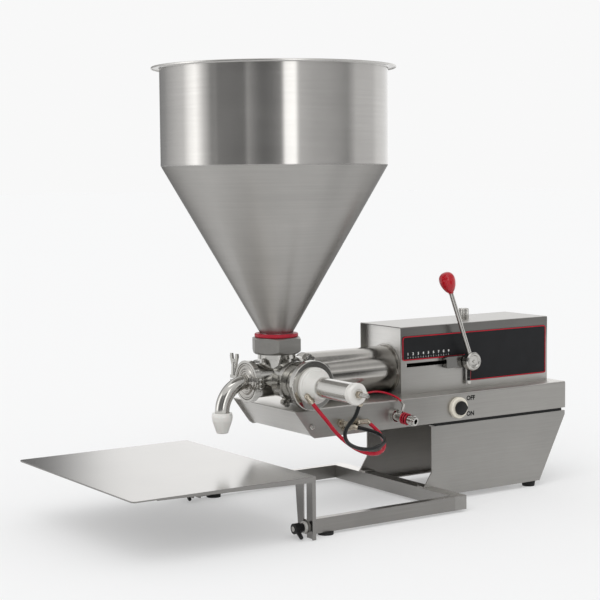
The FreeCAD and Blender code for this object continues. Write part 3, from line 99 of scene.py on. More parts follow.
class Tree:
    """A material's node tree, filled one node at a time."""

    def __init__(self, name: str) -> None:
        """Start a material with a shader and an output.

        Args:
            name: the material's name.
        """
        self.material = bpy.data.materials.new(name)
        self.material.use_nodes = True
        self.tree = self.material.node_tree
        self.shader = self.tree.nodes["Principled BSDF"]
        self._place: dict[str, bpy.types.NodeSocket] = {}

    def node(self, kind: str, **settings: object) -> bpy.types.Node:
        """Add one node.

        Args:
            kind: the node's class name.
            settings: properties set on the node.

        Returns:
            The new node.
        """
        made = self.tree.nodes.new(kind)
        for key, value in settings.items():
            setattr(made, key, value)
        return made

    def feed(self, socket: bpy.types.NodeSocket, value: object) -> None:
        """Link a socket to another one, or set its value.

        Args:
            socket: the socket.
            value: a socket to link from, or the value.
        """
        if isinstance(value, bpy.types.NodeSocket):
            self.tree.links.new(value, socket)
        else:
            socket.default_value = value

    def fix(self, **values: object) -> None:
        """Set values on the shader's own sockets.

        Args:
            values: the values by socket name, with an underscore for each space.
        """
        for key, value in values.items():
            self.shader.inputs[key.replace("_", " ")].default_value = value

    def place(self) -> bpy.types.NodeSocket:
        """Return the object's own coordinates, in metres.

        Returns:
            The coordinates.
        """
        if "object" not in self._place:
            self._place["object"] = self.node("ShaderNodeTexCoord").outputs["Object"]
        return self._place["object"]

    def math(self, operation: str, a: object, b: object = 0.0) -> bpy.types.NodeSocket:
        """Add a math node and return its result.

        Args:
            operation: what the node does.
            a: the first input.
            b: the second input.

        Returns:
            The result.
        """
        made = self.node("ShaderNodeMath", operation=operation)
        self.feed(made.inputs[0], a)
        self.feed(made.inputs[1], b)
        return made.outputs[0]

    def stretched(self, scale: Sequence[float], shift: Sequence[float] = (0, 0, 0)) -> bpy.types.NodeSocket:
        """Return the object's coordinates, shifted and then scaled on each axis.

        Args:
            scale: the factor on each axis.
            shift: what is added to each axis first, in metres.

        Returns:
            The new coordinates.
        """
        moved = self.node("ShaderNodeVectorMath", operation="ADD")
        self.feed(moved.inputs[0], self.place())
        moved.inputs[1].default_value = shift
        made = self.node("ShaderNodeVectorMath", operation="MULTIPLY")
        self.feed(made.inputs[0], moved.outputs[0])
        made.inputs[1].default_value = scale
        return made.outputs[0]

    def noise(self, where: bpy.types.NodeSocket, scale: float, detail: float = 3.0,
              rough: float = 0.6) -> bpy.types.NodeSocket:
        """Add a noise texture.

        Args:
            where: the coordinates it reads.
            scale: how fine it is.
            detail: how many finer layers it has.
            rough: how strong those layers are.

        Returns:
            The noise, from 0 to 1.
        """
        made = self.node("ShaderNodeTexNoise")
        self.feed(made.inputs["Vector"], where)
        made.inputs["Scale"].default_value = scale
        made.inputs["Detail"].default_value = detail
        made.inputs["Roughness"].default_value = rough
        return made.outputs["Fac"]

    def ramp(self, value: bpy.types.NodeSocket,
             stops: Sequence[tuple[float, Sequence[float]]]) -> bpy.types.NodeSocket:
        """Turn a value into a colour by stops of position and colour.

        Args:
            value: the value, from 0 to 1.
            stops: the position and the colour of each stop.

        Returns:
            The colour.
        """
        made = self.node("ShaderNodeValToRGB")
        self.feed(made.inputs["Fac"], value)
        elements = made.color_ramp.elements
        while len(elements) < len(stops):
            elements.new(0.5)
        for element, (position, colour) in zip(elements, stops):
            element.position = position
            element.color = (*colour, 1.0)
        return made.outputs["Color"]

    def spread(self, value: bpy.types.NodeSocket, low: float, high: float) -> bpy.types.NodeSocket:
        """Map a value from 0..1 to another range.

        Args:
            value: the value, from 0 to 1.
            low: what 0 becomes.
            high: what 1 becomes.

        Returns:
            The mapped value.
        """
        made = self.node("ShaderNodeMapRange")
        self.feed(made.inputs["Value"], value)
        made.inputs["To Min"].default_value = low
        made.inputs["To Max"].default_value = high
        return made.outputs["Result"]

    def eased(self, value: bpy.types.NodeSocket, start: float, end: float, first: float,
              last: float) -> bpy.types.NodeSocket:
        """Go softly from a first value to a last one as the input goes from start to end.

        Args:
            value: the input.
            start: the input where the change begins.
            end: the input where it ends.
            first: the value before.
            last: the value after.

        Returns:
            The eased value.
        """
        made = self.node("ShaderNodeMapRange", interpolation_type="SMOOTHSTEP")
        self.feed(made.inputs["Value"], value)
        made.inputs["From Min"].default_value = start
        made.inputs["From Max"].default_value = end
        made.inputs["To Min"].default_value = first
        made.inputs["To Max"].default_value = last
        return made.outputs["Result"]

    def blend(self, low: bpy.types.NodeSocket, high: object,
              factor: bpy.types.NodeSocket) -> bpy.types.NodeSocket:
        """Blend two values by a factor."""
        return self.math("ADD", low, self.math("MULTIPLY", self.math("SUBTRACT", high, low), factor))

    def by_level(self, low: float, high: float, factor: float) -> bpy.types.NodeSocket:
        """Return a factor that goes from 1 at a low level to another value at a high one, in metres.

        Args:
            low: the low level.
            high: the high level.
            factor: the factor at the high level.

        Returns:
            The factor.
        """
        split = self.node("ShaderNodeSeparateXYZ")
        self.feed(split.inputs[0], self.place())
        return self.eased(split.outputs["Z"], low, high, 1.0, factor)

    def facing(self, axis: str, way: float, gain: float) -> bpy.types.NodeSocket:
        """Return a factor that is the gain on faces that look along one way of an axis, and 1 on others, for
        light or shade painted by the way a face looks.

        Args:
            axis: X, Y or Z.
            way: 1 or -1.
            gain: the factor on those faces.

        Returns:
            The factor.
        """
        split = self.node("ShaderNodeSeparateXYZ")
        self.feed(split.inputs[0], self.node("ShaderNodeTexCoord").outputs["Normal"])
        return self.eased(self.math("MULTIPLY", split.outputs[axis], way), *FACING_SPAN, 1.0, gain)

    def tinted(self, colour: bpy.types.NodeSocket, factor: bpy.types.NodeSocket) -> bpy.types.NodeSocket:
        """Return a colour multiplied by a factor.

        Args:
            colour: the colour.
            factor: the factor.

        Returns:
            The tinted colour.
        """
        made = self.node("ShaderNodeVectorMath", operation="SCALE")
        self.feed(made.inputs[0], colour)
        self.feed(made.inputs["Scale"], factor)
        return made.outputs[0]

    def edge_normal(self, radius: float) -> bpy.types.NodeSocket:
        """Return a normal that is rounded at the edges.

        Args:
            radius: how wide the rounding looks, in metres.

        Returns:
            The rounded normal.
        """
        made = self.node("ShaderNodeBevel", samples=4)
        made.inputs["Radius"].default_value = radius
        return made.outputs["Normal"]

    def bump(self, height: bpy.types.NodeSocket, distance: float, strength: float = 1.0,
             normal: bpy.types.NodeSocket | None = None) -> bpy.types.NodeSocket:
        """Turn a height into a normal.

        Args:
            height: the height, from 0 to 1.
            distance: how high 1 stands, in metres.
            strength: how much of it shows.
            normal: the normal it is added to.

        Returns:
            The bumped normal.
        """
        made = self.node("ShaderNodeBump")
        self.feed(made.inputs["Height"], height)
        made.inputs["Distance"].default_value = distance
        made.inputs["Strength"].default_value = strength
        if normal is not None:
            self.feed(made.inputs["Normal"], normal)
        return made.outputs["Normal"]


def scaled(colour: Sequence[float], factor: float) -> tuple[float, float, float]:
    """Return a colour made lighter or darker."""
    return tuple(min(1.0, channel * factor) for channel in colour)


# Finishes


class Grain(Enum):
    """Which way a metal's polishing lines run."""

    ALONG_X = (0.02, 1.0, 1.0)
    ALONG_Y = (1.0, 0.02, 1.0)
    ROUND_X = (1.0, 0.03, 0.03)
    ROUND_Y = (0.03, 1.0, 0.03)
    ROUND_Z = (0.015, 0.015, 1.0)
    NONE = (1.0, 1.0, 1.0)


@dataclass(frozen=True)
class Steel:
    """Stainless steel, drawn, turned or blasted."""

    name: str
    colour: tuple[float, float, float] = (0.60, 0.58, 0.56)
    grain: Grain = Grain.NONE
    roughness: float = 0.30
    spread: float = 0.10
    line_scale: float = 900.0
    bump: float = 0.000004
    cloud: float = 0.08
    cloud_scale: float = 9.0
    edge: float = 0.0008
    streak: float = 0.0
    streak_axis: str = "Z"
    # painted light: faces that look up are made lighter by this factor
    painted_top_light: float = 1.0
    # painted shade: faces that look to the near side are tinted by this factor
    painted_near_shade: float = 1.0
    # painted reflection: the colour darkens towards the top between two levels, down to the last factor
    painted_reflection_fade: tuple[float, float, float] | None = None
    rim_tint: float = 1.0

    def _lines(self, tree: Tree) -> bpy.types.NodeSocket:
        """Return the polishing lines as noise, fine lines over wider ones.

        Args:
            tree: the material's node tree.

        Returns:
            The lines, from 0 to 1.
        """
        where = tree.stretched(self.grain.value)
        fine = tree.noise(where, self.line_scale, 3.0, 0.6)
        wide = tree.noise(where, self.line_scale * 0.3, 2.0, 0.6)
        return tree.math("ADD", tree.math("MULTIPLY", fine, 0.55), tree.math("MULTIPLY", wide, 0.45))

    def make(self) -> bpy.types.Material:
        """Build the material.

        Returns:
            The finished material.
        """
        tree = Tree(self.name)
        lines = self._lines(tree)
        cloud = tree.noise(tree.place(), self.cloud_scale, 3.0, 0.55)
        both = tree.math("ADD", tree.math("MULTIPLY", lines, 0.5), tree.math("MULTIPLY", cloud, 0.5))
        colour = tree.ramp(both, [
            (0.30, scaled(self.colour, 1.0 - self.cloud)),
            (0.70, scaled(self.colour, 1.0 + self.cloud)),
        ])
        # painted light: faces that look up get a lighter colour
        if self.painted_top_light != 1.0:
            colour = tree.tinted(colour, tree.facing("Z", 1.0, self.painted_top_light))
        # painted shade: faces that look to the near side get a tinted colour
        if self.painted_near_shade != 1.0:
            colour = tree.tinted(colour, tree.facing("Y", -1.0, self.painted_near_shade))
        # painted reflection: the colour darkens towards the top
        if self.painted_reflection_fade:
            colour = tree.tinted(colour, tree.by_level(*self.painted_reflection_fade))
        tree.feed(tree.shader.inputs["Base Color"], colour)
        tree.fix(Metallic=1.0, Specular_Tint=(self.rim_tint, self.rim_tint, self.rim_tint, 1.0))
        low = max(0.04, self.roughness - self.spread)
        tree.feed(tree.shader.inputs["Roughness"], tree.spread(both, low, self.roughness + self.spread))
        if self.streak:
            tree.fix(Anisotropic=self.streak, Anisotropic_Rotation=0.25)
            tangent = tree.node("ShaderNodeTangent", direction_type="RADIAL", axis=self.streak_axis)
            tree.feed(tree.shader.inputs["Tangent"], tangent.outputs[0])
        normal = tree.bump(lines, self.bump, 1.0, tree.edge_normal(self.edge))
        tree.feed(tree.shader.inputs["Normal"], normal)
        return tree.material


@dataclass(frozen=True)
class Moulded:
    """Plastic or rubber out of a mould, with a fine skin."""

    name: str
    colour: tuple[float, float, float]
    roughness: float = 0.4
    skin_scale: float = 700.0
    skin: float = 0.00001
    mottle: float = 0.10
    patch_scale: float = 45.0
    wear: float = 0.15
    coat: float = 0.0
    shine: float = 0.5
    subsurface: float = 0.0
    edge: float = 0.0006

    def make(self) -> bpy.types.Material:
        """Build the material.

        Returns:
            The finished material.
        """
        tree = Tree(self.name)
        skin = tree.noise(tree.place(), self.skin_scale, 2.0)
        patch = tree.noise(tree.place(), self.patch_scale, 3.0)
        colour = tree.ramp(patch, [
            (0.35, scaled(self.colour, 1.0 - self.mottle)),
            (0.65, scaled(self.colour, 1.0 + self.mottle)),
        ])
        tree.feed(tree.shader.inputs["Base Color"], colour)
        least, most = self.roughness * (1 - self.wear), self.roughness * (1 + self.wear)
        tree.feed(tree.shader.inputs["Roughness"], tree.spread(patch, least, most))
        tree.fix(Specular_IOR_Level=self.shine, Coat_Weight=self.coat, Coat_Roughness=0.08,
                 Subsurface_Weight=self.subsurface, Subsurface_Radius=(0.004, 0.003, 0.003))
        tree.feed(tree.shader.inputs["Normal"], tree.bump(skin, self.skin, 1.0, tree.edge_normal(self.edge)))
        return tree.material


@dataclass(frozen=True)
class Finishes:
    """Every finish on the machine, made once."""

    hopper: bpy.types.Material
    rim: bpy.types.Material
    cone: bpy.types.Material
    valve: bpy.types.Material
    nut: bpy.types.Material
    cover: bpy.types.Material
    tray: bpy.types.Material
    round_x: bpy.types.Material
    round_y: bpy.types.Material
    sheet_x: bpy.types.Material
    sheet_y: bpy.types.Material
    bright: bpy.types.Material
    block: bpy.types.Material
    plate: bpy.types.Material
    far_panel: bpy.types.Material
    frame_x: bpy.types.Material
    frame_y: bpy.types.Material
    alloy: bpy.types.Material
    silver: bpy.types.Material
    brass: bpy.types.Material
    red_rubber: bpy.types.Material
    black_rubber: bpy.types.Material
    white: bpy.types.Material
    nozzle: bpy.types.Material
    cream: bpy.types.Material
    black: bpy.types.Material
    red_ball: bpy.types.Material
    label: bpy.types.Material
    label_red: bpy.types.Material
    print_white: bpy.types.Material
    print_black: bpy.types.Material
    red_tube: bpy.types.Material
    black_tube: bpy.types.Material

    @classmethod
    def make(cls) -> "Finishes":
        """Make every material.

        Returns:
            The set of finishes.
        """
        warm = (0.43, 0.42, 0.405)
        sheet = (0.33, 0.322, 0.307)
        bright = (0.50, 0.49, 0.465)
        return cls(
            hopper=Steel("spun_steel", warm, Grain.ROUND_Z, roughness=0.17, spread=0.03,
                         line_scale=900.0, bump=0.000002, cloud=0.10, streak=0.9).make(),
            rim=Steel("rolled_rim", (0.57, 0.56, 0.54), Grain.ROUND_Z, roughness=0.30, spread=0.05,
                      line_scale=900.0, bump=0.000002, cloud=0.05).make(),
            cone=Steel("brushed_cone", (0.405, 0.395, 0.38), Grain.ROUND_Z, roughness=0.36, spread=0.06,
                       line_scale=900.0, bump=0.000004, cloud=0.12, streak=0.6, rim_tint=0.35).make(),
            valve=Steel("valve_steel", bright, Grain.NONE, roughness=0.17, spread=0.07,
                        line_scale=260.0, bump=0.00003, cloud=0.14).make(),
            # painted light: lighter on faces that look up
            nut=Steel("nut_steel", (0.290, 0.283, 0.268), Grain.ALONG_X, roughness=0.48, spread=0.08,
                      line_scale=900.0, bump=0.000006, cloud=0.16, painted_top_light=1.4).make(),
            # painted light: lighter on faces that look up; painted reflection: its sides darken towards the
            # top
            cover=Steel("cover_steel", (0.43, 0.42, 0.40), Grain.ALONG_X, roughness=0.32, spread=0.08,
                        line_scale=1100.0, bump=0.000004, cloud=0.10, painted_top_light=2.3,
                        painted_reflection_fade=(0.235, 0.276, 0.42)).make(),
            # painted light: lighter on faces that look up
            tray=Steel("tray_steel", (0.37, 0.36, 0.342), Grain.ALONG_X, roughness=0.34, spread=0.08,
                       line_scale=1100.0, bump=0.000005, cloud=0.11, painted_top_light=1.6).make(),
            round_x=Steel("turned_steel", (0.44, 0.425, 0.40), Grain.ROUND_X, roughness=0.15,
                          spread=0.05, line_scale=1200.0, bump=0.000002, cloud=0.10, streak=0.7,
                          streak_axis="X").make(),
            round_y=Steel("drawn_steel", (0.57, 0.56, 0.535), Grain.ALONG_Y, roughness=0.15,
                          spread=0.05, line_scale=1200.0, bump=0.000002, cloud=0.10).make(),
            # painted light: lighter on faces that look up
            sheet_x=Steel("sheet_steel", sheet, Grain.ALONG_X, roughness=0.34, spread=0.08,
                          line_scale=1100.0, bump=0.000005, cloud=0.11, painted_top_light=1.5).make(),
            # painted light: lighter on faces that look up
            sheet_y=Steel("sheet_steel_cross", (0.74, 0.73, 0.71), Grain.ALONG_Y, roughness=0.50,
                          spread=0.08, line_scale=1100.0, bump=0.000005, cloud=0.11,
                          painted_top_light=1.7).make(),
            bright=Steel("bright_steel", bright, Grain.NONE, roughness=0.12, spread=0.04,
                         line_scale=500.0, bump=0.000003, cloud=0.12).make(),
            block=Steel("block_steel", (0.17, 0.167, 0.16), Grain.NONE, roughness=0.16, spread=0.05,
                        line_scale=500.0, bump=0.000004, cloud=0.12).make(),
            # painted reflection: the plate's top is lighter, as it mirrors the bright light above
            plate=Steel("plate_steel", (0.255, 0.248, 0.238), Grain.ALONG_X, roughness=0.17,
                        spread=0.05, line_scale=900.0, bump=0.000003, cloud=0.08, painted_top_light=1.85).make(),
            # a lighter copy of the sheet steel for the pedestal's far panel: painted light for its shaded
            # inner side, painted light on faces that look up and painted shade on faces that look to the near
            # side
            far_panel=Steel("far_panel_steel", (0.40, 0.385, 0.365), Grain.ALONG_X, roughness=0.46,
                            spread=0.08, line_scale=1100.0, bump=0.000005, cloud=0.11, painted_top_light=1.5,
                            painted_near_shade=0.9).make(),
            # painted light: lighter on faces that look up
            frame_x=Steel("frame_steel", (0.27, 0.262, 0.25), Grain.ALONG_X, roughness=0.32,
                          spread=0.08, line_scale=900.0, bump=0.000005, cloud=0.14,
                          painted_top_light=2.3).make(),
            # painted light: lighter on faces that look up
            frame_y=Steel("frame_steel_cross", (0.32, 0.312, 0.30), Grain.ALONG_Y, roughness=0.32,
                          spread=0.08, line_scale=900.0, bump=0.000005, cloud=0.14,
                          painted_top_light=2.3).make(),
            alloy=Steel("alloy", (0.62, 0.63, 0.65), Grain.NONE, roughness=0.35, spread=0.06,
                        line_scale=900.0, bump=0.000004).make(),
            silver=Moulded("silver_cap", (0.66, 0.645, 0.61), roughness=0.30, mottle=0.05,
                           shine=0.8).make(),
            brass=Steel("nickel_brass", (0.43, 0.385, 0.315), Grain.NONE, roughness=0.24, spread=0.08,
                        line_scale=900.0, bump=0.000006, cloud=0.16).make(),
            red_rubber=Moulded("red_rubber", (0.36, 0.006, 0.022), roughness=0.42, shine=0.3).make(),
            black_rubber=Moulded("black_rubber", (0.014, 0.014, 0.014), roughness=0.65,
                                 shine=0.25).make(),
            white=Moulded("white_plastic", (0.64, 0.63, 0.60), roughness=0.42, subsurface=0.15,
                          mottle=0.03).make(),
            nozzle=Moulded("nozzle_white", (0.74, 0.73, 0.70), roughness=0.38, subsurface=0.15,
                           mottle=0.03).make(),
            cream=Moulded("cream_plastic", (0.72, 0.68, 0.58), roughness=0.40, mottle=0.03).make(),
            black=Moulded("black_plastic", (0.010, 0.010, 0.010), roughness=0.36, shine=0.25).make(),
            red_ball=Moulded("red_ball", (0.40, 0.002, 0.010), roughness=0.20, skin=0.0, coat=0.4,
                             shine=0.3).make(),
            label=Moulded("label_black", (0.011, 0.0115, 0.013), roughness=0.42, skin=0.000004,
                          shine=0.18).make(),
            label_red=Moulded("label_red", (0.46, 0.006, 0.022), roughness=0.40, shine=0.2).make(),
            print_white=Moulded("print_white", (0.86, 0.86, 0.84), roughness=0.5).make(),
            print_black=Moulded("print_black", (0.008, 0.008, 0.008), roughness=0.6, shine=0.1).make(),
            red_tube=Moulded("red_tube", (0.42, 0.002, 0.020), roughness=0.22, mottle=0.05, coat=0.2,
                             shine=0.25, subsurface=0.05).make(),
            black_tube=Moulded("black_tube", (0.007, 0.008, 0.008), roughness=0.25, mottle=0.05,
                               coat=0.08, shine=0.2).make(),
        )


# Meshes


def add_piece(mesh: bpy.types.Mesh, name: str, material: bpy.types.Material) -> bpy.types.Object:
    """Put a mesh in the scene.

    Args:
        mesh: the finished mesh.
        name: the piece's name.
        material: its finish.

    Returns:
        The new object.
    """
    made = bpy.data.objects.new(name, mesh)
    bpy.context.scene.collection.objects.link(made)
    mesh.materials.append(material)
    return made


def settle(piece: bpy.types.Object, body: str, slot: str, *nodes: str) -> bpy.types.Object:
    """Let a piece ride on a body, and stand for nodes where some are given.

    Args:
        piece: the piece.
        body: the body it moves with.
        slot: the record's material slot, not used.
        nodes: the nodes that it replaces.

    Returns:
        The same piece.
    """
    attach(piece, body)
    if nodes:
        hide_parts(*nodes)
    log.info("%s rides on %s", piece.name, body)
    return piece


def axis_frame(origin: Vector, direction: Vector) -> Matrix:
    """Return the frame whose Z axis points along a direction from an origin."""
    turn = UP.rotation_difference(direction.normalized())
    return Matrix.Translation(origin) @ turn.to_matrix().to_4x4()


def smooth_by_angle(mesh: bpy.types.Mesh, degrees: float) -> None:
    """Shade a mesh smooth, keeping edges sharper than an angle.

    Args:
        mesh: the mesh.
        degrees: the angle.
    """
    mesh.shade_smooth()
    limit = math.radians(degrees)
    made = bmesh.new()
    made.from_mesh(mesh)
    for edge in made.edges:
        edge.smooth = len(edge.link_faces) != 2 or edge.calc_face_angle() < limit
    made.to_mesh(mesh)
    made.free()


def close_up(made: bmesh.types.BMesh, name: str, material: bpy.types.Material,
             degrees: float | None = SHARP_ANGLE) -> bpy.types.Object:
    """Turn a mesh in the making into a piece in the scene.

    Args:
        made: the mesh in the making, which is freed.
        name: the piece's name.
        material: its finish.
        degrees: edges sharper than this stay sharp, and with None all of them do.

    Returns:
        The new object.
    """
    bmesh.ops.recalc_face_normals(made, faces=made.faces)
    mesh = bpy.data.meshes.new(name)
    made.to_mesh(mesh)
    made.free()
    if degrees is not None:
        smooth_by_angle(mesh, degrees)
    return add_piece(mesh, name, material)


def circle(made: bmesh.types.BMesh, count: int, place: Callable[[float], Vector]) -> list[bmesh.types.BMVert]:
    """Add a ring of points, evenly round a turn.

    Args:
        made: the mesh in the making.
        count: how many points the ring has.
        place: where the point at a turn lies, in metres.

    Returns:
        The ring.
    """
    return [made.verts.new(place(2 * math.pi * k / count)) for k in range(count)]


def bridge(made: bmesh.types.BMesh, rings: Sequence[Sequence[bmesh.types.BMVert]],
           closed: bool = False) -> None:
    """Join rings with faces, where a ring of one point is a tip.

    Args:
        made: the mesh in the making.
        rings: the rings in their order.
        closed: whether the last ring joins the first.
    """
    pairs = list(zip(rings, rings[1:]))
    if closed:
        pairs.append((rings[-1], rings[0]))
    for low, high in pairs:
        count = max(len(low), len(high))
        for k in range(count if count > 1 else 0):
            n = (k + 1) % count
            if len(low) == 1:
                made.faces.new((low[0], high[n], high[k]))
            elif len(high) == 1:
                made.faces.new((low[k], low[n], high[0]))
            else:
                made.faces.new((low[k], low[n], high[n], high[k]))


def rounded_profile(points: Sequence[tuple[float, float, float]],
                    steps: int = 5) -> list[tuple[float, float]]:
    """Round the corners of an outline.

    Args:
        points: radius, distance along the axis and corner radius of each corner.
        steps: how many stretches each rounded corner has.

    Returns:
        The outline as radius and distance.
    """
    corners = [Vector((r, z)) for r, z, _ in points]
    outline: list[tuple[float, float]] = []
    count = len(points)
    for k, (r, z, fillet) in enumerate(points):
        here = corners[k]
        before = corners[(k - 1) % count] - here
        after = corners[(k + 1) % count] - here
        if fillet <= 0 or before.length < 1e-9 or after.length < 1e-9:
            outline.append((r, z))
            continue
        angle = before.angle(after)
        cut = min(fillet / math.tan(angle / 2), before.length * 0.49, after.length * 0.49)
        start = here + before.normalized() * cut
        end = here + after.normalized() * cut
        for step in range(steps + 1):
            t = step / steps
            blend = start * (1 - t) ** 2 + here * 2 * t * (1 - t) + end * t ** 2
            outline.append((blend.x, blend.y))
    return outline


def lathe(name: str, points: Sequence[tuple[float, float, float]], origin: Vector, direction: Vector,
          material: bpy.types.Material, segments: int = 96, closed: bool = True) -> bpy.types.Object:
    """Turn an outline about an axis.

    Args:
        name: the piece's name.
        points: radius, distance along the axis and corner radius, in millimetres.
        origin: a point on the axis, in metres.
        direction: the axis.
        material: the finish.
        segments: how many sides the round has.
        closed: whether the outline closes on itself.

    Returns:
        The turned piece.
    """
    made = bmesh.new()
    place = axis_frame(origin, direction)
    rings: list[list[bmesh.types.BMVert]] = []
    for radius, distance in rounded_profile(points):
        if radius < 1e-6:
            rings.append([made.verts.new(place @ (UP * distance * MM))])
            continue
        rings.append(circle(made, segments, lambda turn: place @ (
            Vector((radius * math.cos(turn), radius * math.sin(turn), distance)) * MM)))
    bridge(made, rings, closed)
    return close_up(made, name, material)


def sweep(name: str, path: Sequence[Vector], radius: float, material: bpy.types.Material,
          segments: int) -> bpy.types.Object:
    """Carry a circle along a path.

    Args:
        name: the piece's name.
        path: the path's points, in metres.
        radius: the circle's radius, in metres.
        material: the finish.
        segments: how many sides the circle has.

    Returns:
        The swept piece.
    """
    made = bmesh.new()
    rings = []
    side = None
    for k, point in enumerate(path):
        ahead = path[min(k + 1, len(path) - 1)] - path[max(k - 1, 0)]
        ahead.normalize()
        if side is None:
            side = ahead.orthogonal().normalized()
        side = (side - ahead * side.dot(ahead)).normalized()
        other = ahead.cross(side)
        rings.append(circle(made, segments, lambda turn: point + (
            side * math.cos(turn) + other * math.sin(turn)) * radius))
    bridge(made, rings)
    return close_up(made, name, material, 50.0)


def extruded(name: str, outline: Sequence[tuple[float, float]], face: Vector, across: Vector, up: Vector,
             depth: float, soft: float, material: bpy.types.Material) -> bpy.types.Object:
    """Push an outline out of its plane and soften its edges.

    Args:
        name: the piece's name.
        outline: the outline's points across and up from the face's middle, in millimetres.
        face: the middle of the back face, in metres.
        across: the outline's first direction.
        up: the outline's second direction.
        depth: how far it stands out, in millimetres.
        soft: the width of the softened edge, in millimetres.
        material: the finish.

    Returns:
        The finished piece.
    """
    out = across.cross(up).normalized()
    made = bmesh.new()
    back = [made.verts.new(face + (across * x + up * y) * MM) for x, y in outline]
    front = [made.verts.new(vert.co + out * depth * MM) for vert in back]
    made.faces.new(list(reversed(back)))
    made.faces.new(front)
    bridge(made, [back, front])
    bmesh.ops.recalc_face_normals(made, faces=made.faces)
    sharp = [edge for edge in made.edges if edge.calc_face_angle(0.0) > math.radians(50)]
    bmesh.ops.bevel(made, geom=sharp, offset=soft * MM, segments=3, profile=0.5, affect="EDGES")
    return close_up(made, name, material)


# Studio


